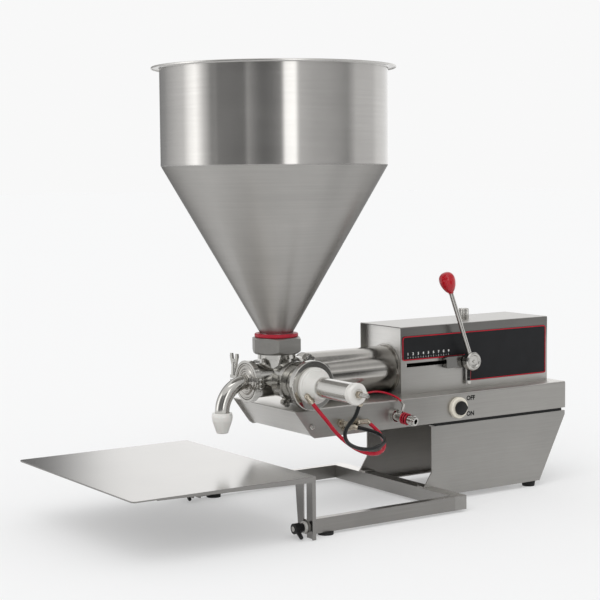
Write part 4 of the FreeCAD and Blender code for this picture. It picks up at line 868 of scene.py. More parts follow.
@dataclass(frozen=True)
class Studio:
    """A pale seamless room, one soft lamp, a striped room wall for the steel and the camera."""

    pale: float = 0.94
    floor_colour: float = 0.905
    floor_glow: float = 0.35
    floor_reach: float = 40.0
    eye: tuple[float, float, float] = (-1.3983, -2.00685, 0.5409)
    ahead: tuple[float, float, float] = (0.5528, 0.8291, -0.0830)
    roll: float = -0.51
    lens: float = 92.43
    ambient: float = 0.82
    sun_power: float = 0.95
    sun_soft: float = 55.0
    sun_from: tuple[float, float, float] = (-0.75, -0.55, 1.05)
    wall_radius: float = 4.0
    wall_height: float = 7.6
    wall_plain: float = 0.94
    eye_level: float = 0.22
    screen_radius: float = 0.7
    screen_height: float = 0.285
    screen_turns: tuple[float, float, float, float] = (-80.0, -66.0, -51.0, -43.0)
    screen_rise: tuple[float, float] = (3.2, 5.0)
    tier_turns: tuple[float, float, float, float] = (-88.0, -70.0, 8.0, 24.0)
    tier_rise: tuple[float, float] = (8.5, 11.5)
    tier_span: tuple[float, float] = (-20.0, 60.0)
    plain_rise: tuple[float, float] = (34.0, 40.0)
    brightest: float = 3.0
    levels: tuple[tuple[float, float], ...] = (
        (-20, 0.62), (-15, 0.50), (-11, 0.27), (-7, 0.15), (-3, 0.08), (2, 0.08), (5, 0.16), (9, 0.58),
        (12.5, 1.10), (14, 1.0), (17, 0.80), (21, 0.60), (25, 0.53), (29, 0.55), (32, 0.72), (36, 0.84),
        (39, 0.76), (43, 0.50), (46, 0.30), (48.5, 0.22), (49.3, 0.6), (50, 1.7), (51.6, 1.7), (52.3, 0.5),
        (53, 0.24), (60, 0.24),
    )
    wall: tuple[tuple[float, float], ...] = (
        (-180, 0.29), (-168, 0.235), (-158, 0.18), (-152, 0.18), (-149, 0.50), (-146, 0.36), (-140, 0.19),
        (-134, 0.12), (-126, 0.18), (-119, 0.34), (-116.5, 0.50), (-113.5, 2.4), (-104, 2.7), (-100.5, 0.95),
        (-85, 0.74), (-60, 0.52), (-48, 0.38), (-43, 0.58), (-36, 0.95), (-10, 0.98), (0, 1.25),
        (44, 1.15), (61, 1.24), (68.5, 1.17), (72.5, 0.20), (100, 0.46), (108, 0.63), (138, 1.18),
        (147, 2.05), (155, 2.45), (165, 1.15), (173.5, 0.40),
    )

    def light_world(self) -> None:
        """Give the room one even pale light, and a pale ground to the eye and in reflections."""
        world = bpy.data.worlds.new("room")
        world.use_nodes = True
        bpy.context.scene.world = world
        tree = world.node_tree
        tree.nodes.clear()
        seen = tree.nodes.new("ShaderNodeLightPath")
        out = tree.nodes.new("ShaderNodeOutputWorld")
        mix = tree.nodes.new("ShaderNodeMixShader")
        first = tree.nodes.new("ShaderNodeMath")
        first.operation = "MAXIMUM"
        second = tree.nodes.new("ShaderNodeMath")
        second.operation = "MAXIMUM"
        soft = tree.nodes.new("ShaderNodeBackground")
        soft.inputs["Color"].default_value = (0.99, 0.995, 1.0, 1.0)
        soft.inputs["Strength"].default_value = self.ambient
        shown = tree.nodes.new("ShaderNodeBackground")
        shown.inputs["Color"].default_value = (self.pale, self.pale, self.pale, 1.0)
        shown.inputs["Strength"].default_value = 1.0
        tree.links.new(seen.outputs["Is Camera Ray"], first.inputs[0])
        tree.links.new(seen.outputs["Is Glossy Ray"], first.inputs[1])
        tree.links.new(first.outputs[0], second.inputs[0])
        tree.links.new(seen.outputs["Is Transmission Ray"], second.inputs[1])
        tree.links.new(second.outputs[0], mix.inputs["Fac"])
        tree.links.new(soft.outputs[0], mix.inputs[1])
        tree.links.new(shown.outputs[0], mix.inputs[2])
        tree.links.new(mix.outputs[0], out.inputs["Surface"])

    def lay_floor(self) -> None:
        """Lay a wide pale floor."""
        mesh = bpy.data.meshes.new("floor")
        made = bmesh.new()
        made.faces.new(circle(made, 64, lambda turn: Vector(
            (self.floor_reach * math.cos(turn), self.floor_reach * math.sin(turn), 0.0))))
        made.to_mesh(mesh)
        made.free()
        tree = Tree("studio_floor")
        cloud = tree.noise(tree.place(), 0.6, 1.0)
        tree.feed(tree.shader.inputs["Base Color"], tree.ramp(cloud, [
            (0.2, (self.floor_colour,) * 3),
            (0.8, (self.floor_colour + 0.004,) * 3),
        ]))
        tree.fix(Roughness=1.0, Specular_IOR_Level=0.0)
        seen = tree.node("ShaderNodeLightPath")
        ray = tree.math("MAXIMUM", seen.outputs["Is Camera Ray"], seen.outputs["Is Glossy Ray"])
        ray = tree.math("MAXIMUM", ray, seen.outputs["Is Transmission Ray"])
        pale = tree.node("ShaderNodeEmission")
        tree.feed(pale.inputs["Color"], tree.math("MULTIPLY", ray, self.pale))
        mixed = tree.node("ShaderNodeMixShader")
        tree.feed(mixed.inputs["Fac"], tree.math("MULTIPLY", ray, self.floor_glow))
        tree.tree.links.new(tree.shader.outputs[0], mixed.inputs[1])
        tree.tree.links.new(pale.outputs[0], mixed.inputs[2])
        tree.tree.links.new(mixed.outputs[0], tree.tree.nodes["Material Output"].inputs["Surface"])
        floor = add_piece(mesh, "floor", tree.material)

    def _ring(self, name: str, rows: Sequence[tuple[float, float]]) -> bpy.types.Mesh:
        """Build an open ring of faces round the room, by rows of radius and height in metres.

        Args:
            name: the mesh's name.
            rows: the radius and the height of each row.

        Returns:
            The ring of faces.
        """
        mesh = bpy.data.meshes.new(name)
        made = bmesh.new()
        bridge(made, [circle(made, 180, lambda turn: Vector(
            (radius * math.cos(turn), radius * math.sin(turn), height))) for radius, height in rows])
        made.to_mesh(mesh)
        made.free()
        return mesh

    def _compass(self, tree: Tree) -> tuple[bpy.types.NodeSocket, bpy.types.NodeSocket]:
        """Return a point's turn round the room and its angle above the cylinder's height, in degrees.

        Args:
            tree: the material's node tree.

        Returns:
            The turn and the rise.
        """
        split = tree.node("ShaderNodeSeparateXYZ")
        tree.feed(split.inputs[0], tree.place())
        east, north, up = (split.outputs[k] for k in "XYZ")
        turn = tree.math("ARCTAN2", north, east)
        reach = tree.math("SQRT", tree.math("ADD", tree.math("MULTIPLY", east, east),
                                            tree.math("MULTIPLY", north, north)))
        rise = tree.math("ARCTAN2", tree.math("SUBTRACT", up, self.eye_level), reach)
        return tree.math("DEGREES", turn), tree.math("DEGREES", rise)

    def _tiers(self, tree: Tree, rise: bpy.types.NodeSocket) -> bpy.types.NodeSocket:
        """Return the level-by-level glow, divided by the brightest value.

        Args:
            tree: the material's node tree.
            rise: the angle above the cylinder's height, in degrees.

        Returns:
            The glow as a share of the brightest.
        """
        low, high = self.tier_span
        share = tree.math("DIVIDE", tree.math("SUBTRACT", rise, low), high - low)
        return tree.ramp(share, [((angle - low) / (high - low), (value / self.brightest,) * 3)
                                 for angle, value in self.levels])

    def _between(self, tree: Tree, turn: bpy.types.NodeSocket,
                 turns: tuple[float, float, float, float]) -> bpy.types.NodeSocket:
        """Return a factor that eases in between two turns and out between two others.

        Args:
            tree: the material's node tree.
            turn: the turn round the room, in degrees.
            turns: where it starts, is whole, starts to fall and is gone.

        Returns:
            The factor, from 0 to 1.
        """
        rising, risen, falling, fallen = turns
        return tree.math("MULTIPLY", tree.eased(turn, rising, risen, 0.0, 1.0),
                         tree.eased(turn, falling, fallen, 1.0, 0.0))

    def _hidden(self, mesh: bpy.types.Mesh, name: str, tree: Tree) -> None:
        """Stage a piece that only mirrors see.

        Args:
            mesh: the piece's mesh.
            name: the piece's name.
            tree: the material's node tree.
        """
        piece = add_piece(mesh, name, tree.material)
        piece.visible_camera = False
        piece.visible_diffuse = False
        piece.visible_shadow = False
        piece.visible_transmission = False

    def raise_wall(self) -> None:
        """Raise the wall of light and dark panels that only polished metal sees."""
        mesh = self._ring("panel_wall", [(self.wall_radius, 0.01), (self.wall_radius, self.wall_height)])
        tree = Tree("panel_wall")
        turn, rise = self._compass(tree)
        top = self.brightest
        share = tree.math("DIVIDE", tree.math("ADD", turn, 180.0), 360.0)
        bands = tree.ramp(share, [((angle + 180) / 360, (value / top,) * 3) for angle, value in self.wall])
        plain = tree.blend(bands, self.wall_plain / top, tree.eased(rise, *self.plain_rise, 0.0, 1.0))
        front = tree.math("MULTIPLY", self._between(tree, turn, self.tier_turns),
                          tree.eased(rise, *self.tier_rise, 0.0, 1.0))
        glow = tree.node("ShaderNodeEmission")
        tree.feed(glow.inputs["Color"], tree.blend(plain, self._tiers(tree, rise), front))
        glow.inputs["Strength"].default_value = top
        output = tree.tree.nodes["Material Output"]
        tree.tree.links.new(glow.outputs[0], output.inputs["Surface"])
        self._hidden(mesh, "panel_wall", tree)

    def raise_screen(self) -> None:
        """Raise the low dark screen beyond the table's near edge."""
        rows = [(self.screen_radius, 0.002), (self.screen_radius, self.screen_height)]
        mesh = self._ring("low_screen", rows)
        tree = Tree("low_screen")
        turn, rise = self._compass(tree)
        glow = tree.node("ShaderNodeEmission")
        tree.feed(glow.inputs["Color"], self._tiers(tree, rise))
        glow.inputs["Strength"].default_value = self.brightest
        clear = tree.node("ShaderNodeBsdfTransparent")
        mixed = tree.node("ShaderNodeMixShader")
        there = self._between(tree, turn, self.screen_turns)
        low = tree.eased(rise, *self.screen_rise, 1.0, 0.0)
        tree.feed(mixed.inputs["Fac"], tree.math("MULTIPLY", there, low))
        tree.tree.links.new(clear.outputs[0], mixed.inputs[1])
        tree.tree.links.new(glow.outputs[0], mixed.inputs[2])
        output = tree.tree.nodes["Material Output"]
        tree.tree.links.new(mixed.outputs[0], output.inputs["Surface"])
        self._hidden(mesh, "low_screen", tree)

    def hang_lamp(self) -> None:
        """Hang one wide soft lamp, high on the near left."""
        data = bpy.data.lights.new("soft_lamp", "SUN")
        data.energy = self.sun_power
        data.angle = math.radians(self.sun_soft)
        lamp = bpy.data.objects.new("soft_lamp", data)
        bpy.context.scene.collection.objects.link(lamp)
        lamp.location = Vector(self.sun_from) * 2
        lamp.rotation_euler = (-Vector(self.sun_from)).to_track_quat("-Z", "Y").to_euler()

    def set_camera(self) -> None:
        """Stand the camera where the picture was taken from."""
        ahead = Vector(self.ahead).normalized()
        side = ahead.cross(UP).normalized()
        up = side.cross(ahead)
        turn = math.radians(self.roll)
        right = side * math.cos(turn) + up * math.sin(turn)
        top = up * math.cos(turn) - side * math.sin(turn)
        data = bpy.data.cameras.new("camera")
        data.sensor_width = 36.0
        data.lens = self.lens
        data.clip_end = 100.0
        camera = bpy.data.objects.new("camera", data)
        bpy.context.scene.collection.objects.link(camera)
        axes = Matrix((right, top, -ahead)).transposed().to_4x4()
        camera.matrix_world = Matrix.Translation(Vector(self.eye)) @ axes
        bpy.context.scene.camera = camera

    def build(self) -> None:
        """Set the whole room up."""
        self.light_world()
        self.lay_floor()
        self.raise_wall()
        self.raise_screen()
        self.hang_lamp()
        self.set_camera()
        bpy.context.scene.view_settings.view_transform = "Standard"


# Dressing the machine


class Finish(Enum):
    """The finishes by name, as the dressing lists use them."""

    CONE = "cone"
    VALVE = "valve"
    NUT = "nut"
    COVER = "cover"
    TRAY = "tray"
    ROUND_X = "round_x"
    ROUND_Y = "round_y"
    SHEET_X = "sheet_x"
    SHEET_Y = "sheet_y"
    BRIGHT = "bright"
    BLOCK = "block"
    PLATE = "plate"
    FAR_PANEL = "far_panel"
    FRAME_X = "frame_x"
    FRAME_Y = "frame_y"
    ALLOY = "alloy"
    BRASS = "brass"
    RED_RUBBER = "red_rubber"
    BLACK_RUBBER = "black_rubber"
    WHITE = "white"
    CREAM = "cream"
    BLACK = "black"
    LABEL = "label"


def dress(finishes: Finishes, finish: Finish, *nodes: str) -> None:
    """Give CAD nodes a finish.

    Args:
        finishes: the set of materials.
        finish: which one.
        nodes: the nodes that get it.
    """
    material = getattr(finishes, finish.value)
    for name in nodes:
        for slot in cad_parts[name].material_slots:
            slot.material = material
        log.info("%s is finished in %s", name, material.name)


@dataclass(frozen=True)
class Hopper:
    """The spun hopper, its gasket and the union nut."""

    radius: float = 177.8
    wall: float = 1.2
    rim_out: float = 12.7
    rim_lip: float = 3.0
    rim_starts: float = 1.5
    cone_rows: int = 24
    weld_radius: float = 0.75
    weld_sunk: float = 0.35
    weld_steps: int = 192
    outlet: float = 25.9
    segments: int = 256

    def _levels(self) -> dict[str, float]:
        """Return the levels of the nodes in millimetres.

        Returns:
            Each level by its name.
        """
        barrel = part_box("hopper_barrel")
        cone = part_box("hopper_cone")
        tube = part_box("hopper_outlet")
        return {
            "top": barrel[1].z / MM,
            "knee": cone[1].z / MM,
            "throat": cone[0].z / MM,
            "foot": tube[0].z / MM,
            "outlet": (tube[1].x - tube[0].x) / 2 / MM,
        }

    def _barrel(self, finishes: Finishes, level: dict[str, float]) -> None:
        """Build the barrel with its turned-out rim; the weld at its foot is laid by _weld.

        Args:
            finishes: the set of materials.
            level: the levels in millimetres, by name.
        """
        r, w, top, knee = self.radius, self.wall, level["top"], level["knee"]
        rim = r + self.rim_out
        points = [
            (r, knee, 0.0),
            (r, top - w, 2.6),
            (rim - w, top - w, 0.5),
            (rim - w, top - self.rim_lip, 0.3),
            (rim, top - self.rim_lip, 0.3),
            (rim, top, 1.1),
            (r - w, top, 3.4),
            (r - w, knee, 0.0),
        ]
        piece = lathe("hopper_barrel_skin", points, DATUM.hopper, UP, finishes.hopper, self.segments)
        piece.data.materials.append(finishes.rim)
        for face in piece.data.polygons:
            reach = face.center.xy - DATUM.hopper.xy
            face.material_index = 1 if reach.length > (r + self.rim_starts) * MM else 0
        settle(piece, "hopper", "hopper_steel", "hopper_barrel")

    def _cone(self, finishes: Finishes, level: dict[str, float]) -> None:
        """Build the cone down to the outlet.

        Args:
            finishes: the set of materials.
            level: the levels in millimetres, by name.
        """
        knee, throat = level["knee"], level["throat"]
        slope = math.atan2(self.radius - self.outlet, knee - throat)
        thick = self.wall / math.cos(slope)
        outer = []
        inner = []
        for k in range(self.cone_rows + 1):
            t = k / self.cone_rows
            r = self.radius + (self.outlet - self.radius) * t
            outer.append((r, knee + (throat - knee) * t, 0.0))
            inner.append((r - thick, knee + (throat - knee) * t, 0.0))
        points = outer + inner[::-1]
        piece = lathe("hopper_cone_skin", points, DATUM.hopper, UP, finishes.cone, self.segments)
        settle(piece, "hopper", "hopper_steel", "hopper_cone")

    def _weld(self, finishes: Finishes, level: dict[str, float]) -> None:
        """Lay the dressed weld bead between barrel and cone.

        Args:
            finishes: the set of materials.
            level: the levels in millimetres, by name.
        """
        path = []
        for k in range(self.weld_steps + 1):
            turn = 2 * math.pi * k / self.weld_steps
            reach = (self.radius - self.weld_sunk) * MM
            spot = Vector((reach * math.cos(turn), reach * math.sin(turn), level["knee"] * MM))
            path.append(DATUM.hopper + spot)
        piece = sweep("hopper_weld", path, self.weld_radius * MM, finishes.hopper, 12)
        settle(piece, "hopper", "hopper_steel")

    def build(self, finishes: Finishes) -> None:
        """Build and dress the hopper.

        Args:
            finishes: the set of materials.
        """
        level = self._levels()
        self._barrel(finishes, level)
        self._cone(finishes, level)
        self._weld(finishes, level)
        dress(finishes, Finish.CONE, "hopper_outlet")
        dress(finishes, Finish.RED_RUBBER, "hopper_gasket")
        dress(finishes, Finish.NUT, "union_nut")


@dataclass(frozen=True)
class Valve:
    """The spool valve, its clamps, bonnet and air cylinder."""

    end_length: float = 13.0
    nut_length: float = 6.0
    nut_flats: float = 10.0
    screw: float = 3.4
    threads: int = 11

    def _end_cap(self, finishes: Finishes) -> None:
        """Turn the small cylinder's end, its lock nut and the threaded adjuster.

        Args:
            finishes: the set of materials.
        """
        low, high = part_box("air_end_cap")
        middle = (low + high) / 2
        origin = Vector((middle.x, high.y, middle.z))
        r = (high.x - low.x) / 2 / MM
        length = self.end_length
        way = NEARWARDS
        points = [
            (0.0, 0.0, 0.0),
            (r - 0.6, 0.0, 0.4),
            (r - 0.4, 2.2, 0.3),
            (r - 1.2, 2.8, 0.3),
            (r - 1.2, 4.0, 0.3),
            (r, 4.6, 0.4),
            (r, length - 2.4, 1.2),
            (r - 2.4, length, 0.8),
            (8.2, length, 0.5),
            (7.6, length - 1.2, 0.5),
            (0.0, length - 1.2, 0.0),
        ]
        piece = lathe("air_end_cap_body", points, origin, way, finishes.silver, 96, closed=False)
        settle(piece, "machine", "white_plastic", "air_end_cap")
        flats = self.nut_flats / 2
        corner = flats / math.cos(math.pi / 6)
        hexagon = [(corner * math.cos(math.pi / 3 * k), corner * math.sin(math.pi / 3 * k)) for k in range(6)]
        face = origin + way * (length - 1.2) * MM
        nut = extruded("adjuster_lock_nut", hexagon, face, ALONG, UP,
                       self.nut_length + 1.2, 0.5, finishes.brass)
        settle(nut, "machine", "cylinder_steel", "air_end_cap")
        start = length + self.nut_length
        total = (high.y - low.y) / MM
        thread = [(0.0, start - 2.0, 0.0), (self.screw - 0.5, start - 2.0, 0.0)]
        pitch = (total - start - 1.2) / self.threads
        for k in range(self.threads):
            foot = start + pitch * k
            thread += [(self.screw - 0.5, foot + pitch * 0.1, 0.0), (self.screw, foot + pitch * 0.5, 0.2)]
        thread += [(self.screw - 0.5, total - 1.0, 0.0), (self.screw - 0.9, total, 0.4), (1.2, total, 0.2),
                   (1.0, total - 1.4, 0.2), (0.0, total - 1.4, 0.0)]
        screw = lathe("stroke_adjuster", thread, origin, way, finishes.bright, 48, closed=False)
        settle(screw, "machine", "cylinder_steel", "air_end_cap")

    def _actuator_cap(self, finishes: Finishes) -> None:
        """Turn the white moulded cap with its stepped face and coned boss.

        Args:
            finishes: the set of materials.
        """
        low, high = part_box("actuator_cap")
        middle = (low + high) / 2
        origin = Vector((middle.x, high.y, middle.z))
        r = (high.x - low.x) / 2 / MM
        total = (high.y - low.y) / MM
        points = [
            (4.2, 0.0, 0.0),
            (r, 0.0, 0.3),
            (r, 5.2, 1.4),
            (r - 1.6, 7.0, 0.9),
            (25.2, 7.0, 1.2),
            (23.6, 8.6, 2.0),
            (18.8, total - 2.6, 2.0),
            (17.6, total, 0.8),
            (4.2, total, 0.3),
        ]
        piece = lathe("actuator_cap_body", points, origin, NEARWARDS, finishes.white, 96)
        settle(piece, "machine", "white_plastic", "actuator_cap")

    def build(self, finishes: Finishes) -> None:
        """Dress the valve's pieces.

        Args:
            finishes: the set of materials.
        """
        dress(finishes, Finish.VALVE, "valve_body", "barrel_end_cap", "bonnet", "spout_clamp", "barrel_clamp",
              "cylinder_clamp", "spout_wing_nut", "barrel_wing_nut")
        dress(finishes, Finish.BRIGHT, "actuator_flange", "valve_spool", "fasteners")
        dress(finishes, Finish.ROUND_Y, "air_barrel")
        dress(finishes, Finish.BRASS, "air_fittings")
        self._end_cap(finishes)
        self._actuator_cap(finishes)


@dataclass(frozen=True)
class Cylinder:
    """The measuring cylinder, its piston and the air drive."""

    throat: float = 27.0
    throat_bore: float = 12.0
    ferrule: float = 29.0
    ferrule_thick: float = 3.0
    wall: float = 1.6
    end_wall: float = 3.0
    face_x: float = 38.3
    front_x: float = 51.0

    def _barrel(self, finishes: Finishes) -> None:
        """Turn the polished cylinder with its stepped front.

        Args:
            finishes: the set of materials.
        """
        low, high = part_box("product_cylinder")
        middle = (low + high) / 2
        r = (high.z - low.z) / 2 / MM
        length = (high.x - low.x) / MM
        step = self.front_x - self.face_x
        points = [
            (self.throat_bore, 0.0, 0.2),
            (self.ferrule, 0.0, 0.3),
            (self.ferrule, self.ferrule_thick, 0.4),
            (self.throat, self.ferrule_thick + 1.2, 0.4),
            (self.throat, step, 0.8),
            (r, step, 1.6),
            (r, length, 0.3),
            (r - self.wall, length, 0.3),
            (r - self.wall, step + self.end_wall, 0.4),
            (self.throat_bore, step + self.end_wall, 0.3),
        ]
        origin = Vector((low.x, middle.y, middle.z))
        piece = lathe("measuring_cylinder", points, origin, ALONG, finishes.round_x, 160)
        settle(piece, "machine", "cylinder_steel", "product_cylinder")

    def build(self, finishes: Finishes) -> None:
        """Dress the cylinder's pieces.

        Args:
            finishes: the set of materials.
        """
        self._barrel(finishes)
        dress(finishes, Finish.ROUND_X, "cylinder_ring", "piston_rod", "rod_bushing")
        dress(finishes, Finish.WHITE, "product_piston")
        dress(finishes, Finish.BLACK_RUBBER, "piston_seals")
        dress(finishes, Finish.ALLOY, "drive_cylinder", "drive_piston", "control_valves")


@dataclass(frozen=True)
class Spout:
    """The swan neck spout and its nozzle."""

    top: float = 16.2
    bottom: float = 8.8
    bore: float = 6.0
    dish_x: float = -56.3
    dish_z: float = 215.0

    def _dish(self, finishes: Finishes) -> None:
        """Turn the stepped rings on the face of the spout's dish.

        Args:
            finishes: the set of materials.
        """
        points = [
            (11.4, 0.0, 0.0),
            (28.4, 0.0, 0.2),
            (28.4, 0.9, 0.4),
            (27.4, 1.7, 0.5),
            (26.0, 1.7, 0.5),
            (24.6, 0.3, 0.5),
            (21.0, 0.3, 0.5),
            (19.4, 1.2, 0.4),
            (18.2, 2.3, 0.6),
            (16.8, 2.3, 0.6),
            (15.4, 0.9, 0.5),
            (13.4, 0.9, 0.4),
            (12.5, 2.0, 0.4),
            (11.4, 2.4, 0.2),
        ]
        origin = at(self.dish_x, 0, self.dish_z)
        piece = lathe("spout_dish_rings", points, origin, -ALONG, finishes.round_x, 128)
        settle(piece, "spout", "valve_steel")

    def build(self, finishes: Finishes) -> None:
        """Dress the spout, step its dish and turn the soft-edged nozzle.

        Args:
            finishes: the set of materials.
        """
        self._dish(finishes)
        dress(finishes, Finish.BRIGHT, "spout")
        low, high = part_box("nozzle")
        middle = (low + high) / 2
        tall = (high.z - low.z) / MM
        points = [
            (self.bore, 0.0, 0.6),
            (self.bottom, 0.0, 1.6),
            (self.top - 0.6, tall - 12.0, 5.0),
            (self.top, tall - 6.0, 3.0),
            (self.top - 0.8, tall, 1.8),
            (11.6, tall, 0.8),
            (11.6, tall - 14.0, 1.0),
            (self.bore, tall - 15.0, 1.0),
        ]
        origin = Vector((middle.x, middle.y, low.z))
        piece = lathe("spout_nozzle", points, origin, UP, finishes.nozzle, 96)
        settle(piece, "nozzle", "white_plastic", "nozzle")


@dataclass(frozen=True)
class Box:
    """The sheet steel box, its label and the portion scale."""

    outline: float = 1.6
    inset: float = 1.2
    proud: float = 0.12
    first_tick: float = 218.0
    last_tick: float = 303.0
    ticks: int = 9
    tick_z: float = 239.4
    mark_wide: float = 0.6
    mark_long: float = 2.6
    mark_short: float = 1.4
    number_height: float = 4.4
    number_bold: float = 0.16
    strip_end: float = 361.5
    strip_z: float = 232.2
    step_end: float = 349.0
    step_z: float = 218.2

    def _outline_path(self) -> list[Vector]:
        """Return the label's outline as rounded corners, in the label's plane.

        Returns:
            The outline's points in order.
        """
        low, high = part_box("label_plate")
        y = low.y - self.proud * MM
        left, right = low.x + self.inset * MM, high.x - self.inset * MM
        bottom, top = low.z + self.inset * MM, high.z - self.inset * MM
        strip = at(self.strip_end + self.inset, 0, self.strip_z + self.inset)
        step = at(self.step_end + self.inset, 0, self.step_z + self.inset)
        corners = [
            (left, top, 6.0),
            (right, top, 5.0),
            (right, bottom, 2.0),
            (step.x, bottom, 2.0),
            (step.x, step.z, 1.0),
            (strip.x, step.z, 1.0),
            (strip.x, strip.z, 1.0),
            (left, strip.z, 3.0),
        ]
        outline = rounded_profile([(x, z, r * MM) for x, z, r in corners], 6)
        return [Vector((x, y, z)) for x, z in outline]

    def _line(self, finishes: Finishes) -> None:
        """Lay the red line round the label.

        Args:
            finishes: the set of materials.
        """
        path = self._outline_path()
        made = bmesh.new()
        half = self.outline * MM / 2
        deep = Vector((0, self.proud * MM * 1.5, 0))
        rings = []
        count = len(path)
        for k, point in enumerate(path):
            before = (point - path[(k - 1) % count]).normalized()
            after = (path[(k + 1) % count] - point).normalized()
            way = (before + after).normalized()
            out = Vector((way.z, 0, -way.x)) * half / max(0.5, way.dot(after))
            spots = (point + out, point - out, point - out + deep, point + out + deep)
            rings.append([made.verts.new(spot) for spot in spots])
        bridge(made, rings, closed=True)
        settle(close_up(made, "label_line", finishes.label_red, None), "machine", "dark_label")

    def _ticks(self, finishes: Finishes) -> None:
        """Print the portion scale's marks and numbers.

        Args:
            finishes: the set of materials.
        """
        low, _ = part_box("label_plate")
        made = bmesh.new()
        half_steps = self.ticks * 2 - 2
        for k in range(half_steps + 1):
            x = self.first_tick + (self.last_tick - self.first_tick) * k / half_steps
            tall = self.mark_long if k % 2 == 0 else self.mark_short
            spot = at(x, 0, self.tick_z - 2.4)
            spot.y = low.y - 0.04 * MM
            size = Matrix.Diagonal((self.mark_wide * MM, 0.1 * MM, tall * MM, 1))
            bmesh.ops.create_cube(made, size=1.0, matrix=Matrix.Translation(spot) @ size)
        settle(close_up(made, "scale_marks", finishes.print_white, None), "machine", "dark_label")
        for k in range(self.ticks):
            x = self.first_tick + (self.last_tick - self.first_tick) * k / (self.ticks - 1)
            spot = at(x, 0, self.tick_z + 1.6)
            spot.y = low.y - 0.05 * MM
            letter(f"scale_number_{k + 1}", str(k + 1), spot, self.number_height, finishes.print_white,
                   "dark_label", bold=self.number_bold)

    def build(self, finishes: Finishes) -> None:
        """Dress the box and print its label.

        Args:
            finishes: the set of materials.
        """
        dress(finishes, Finish.COVER, "box_cover")
        dress(finishes, Finish.SHEET_Y, "box_end_panels")
        dress(finishes, Finish.LABEL, "label_plate")
        self._line(finishes)
        self._ticks(finishes)


def letter(name: str, words: str, spot: Vector, height: float, material: bpy.types.Material, slot: str,
           align: str = "CENTER", bold: float = 0.0) -> None:
    """Print a word on a face that looks to the near side.

    Args:
        name: the piece's name.
        words: what it says.
        spot: the word's foot.
        height: the letters' height in millimetres.
        material: the ink.
        slot: the record's material slot.
        align: which way the word runs from its foot.
        bold: how much the strokes are thickened, in millimetres.
    """
    curve = bpy.data.curves.new(name, "FONT")
    curve.body = words
    curve.size = height * MM * 1.38
    curve.align_x = align
    curve.extrude = 0.00004
    curve.offset = bold * MM
    curve.resolution_u = 4
    curve.materials.append(material)
    piece = bpy.data.objects.new(name, curve)
    bpy.context.scene.collection.objects.link(piece)
    piece.location = spot
    piece.rotation_euler = (math.pi / 2, 0, 0)
    settle(piece, "machine", slot)


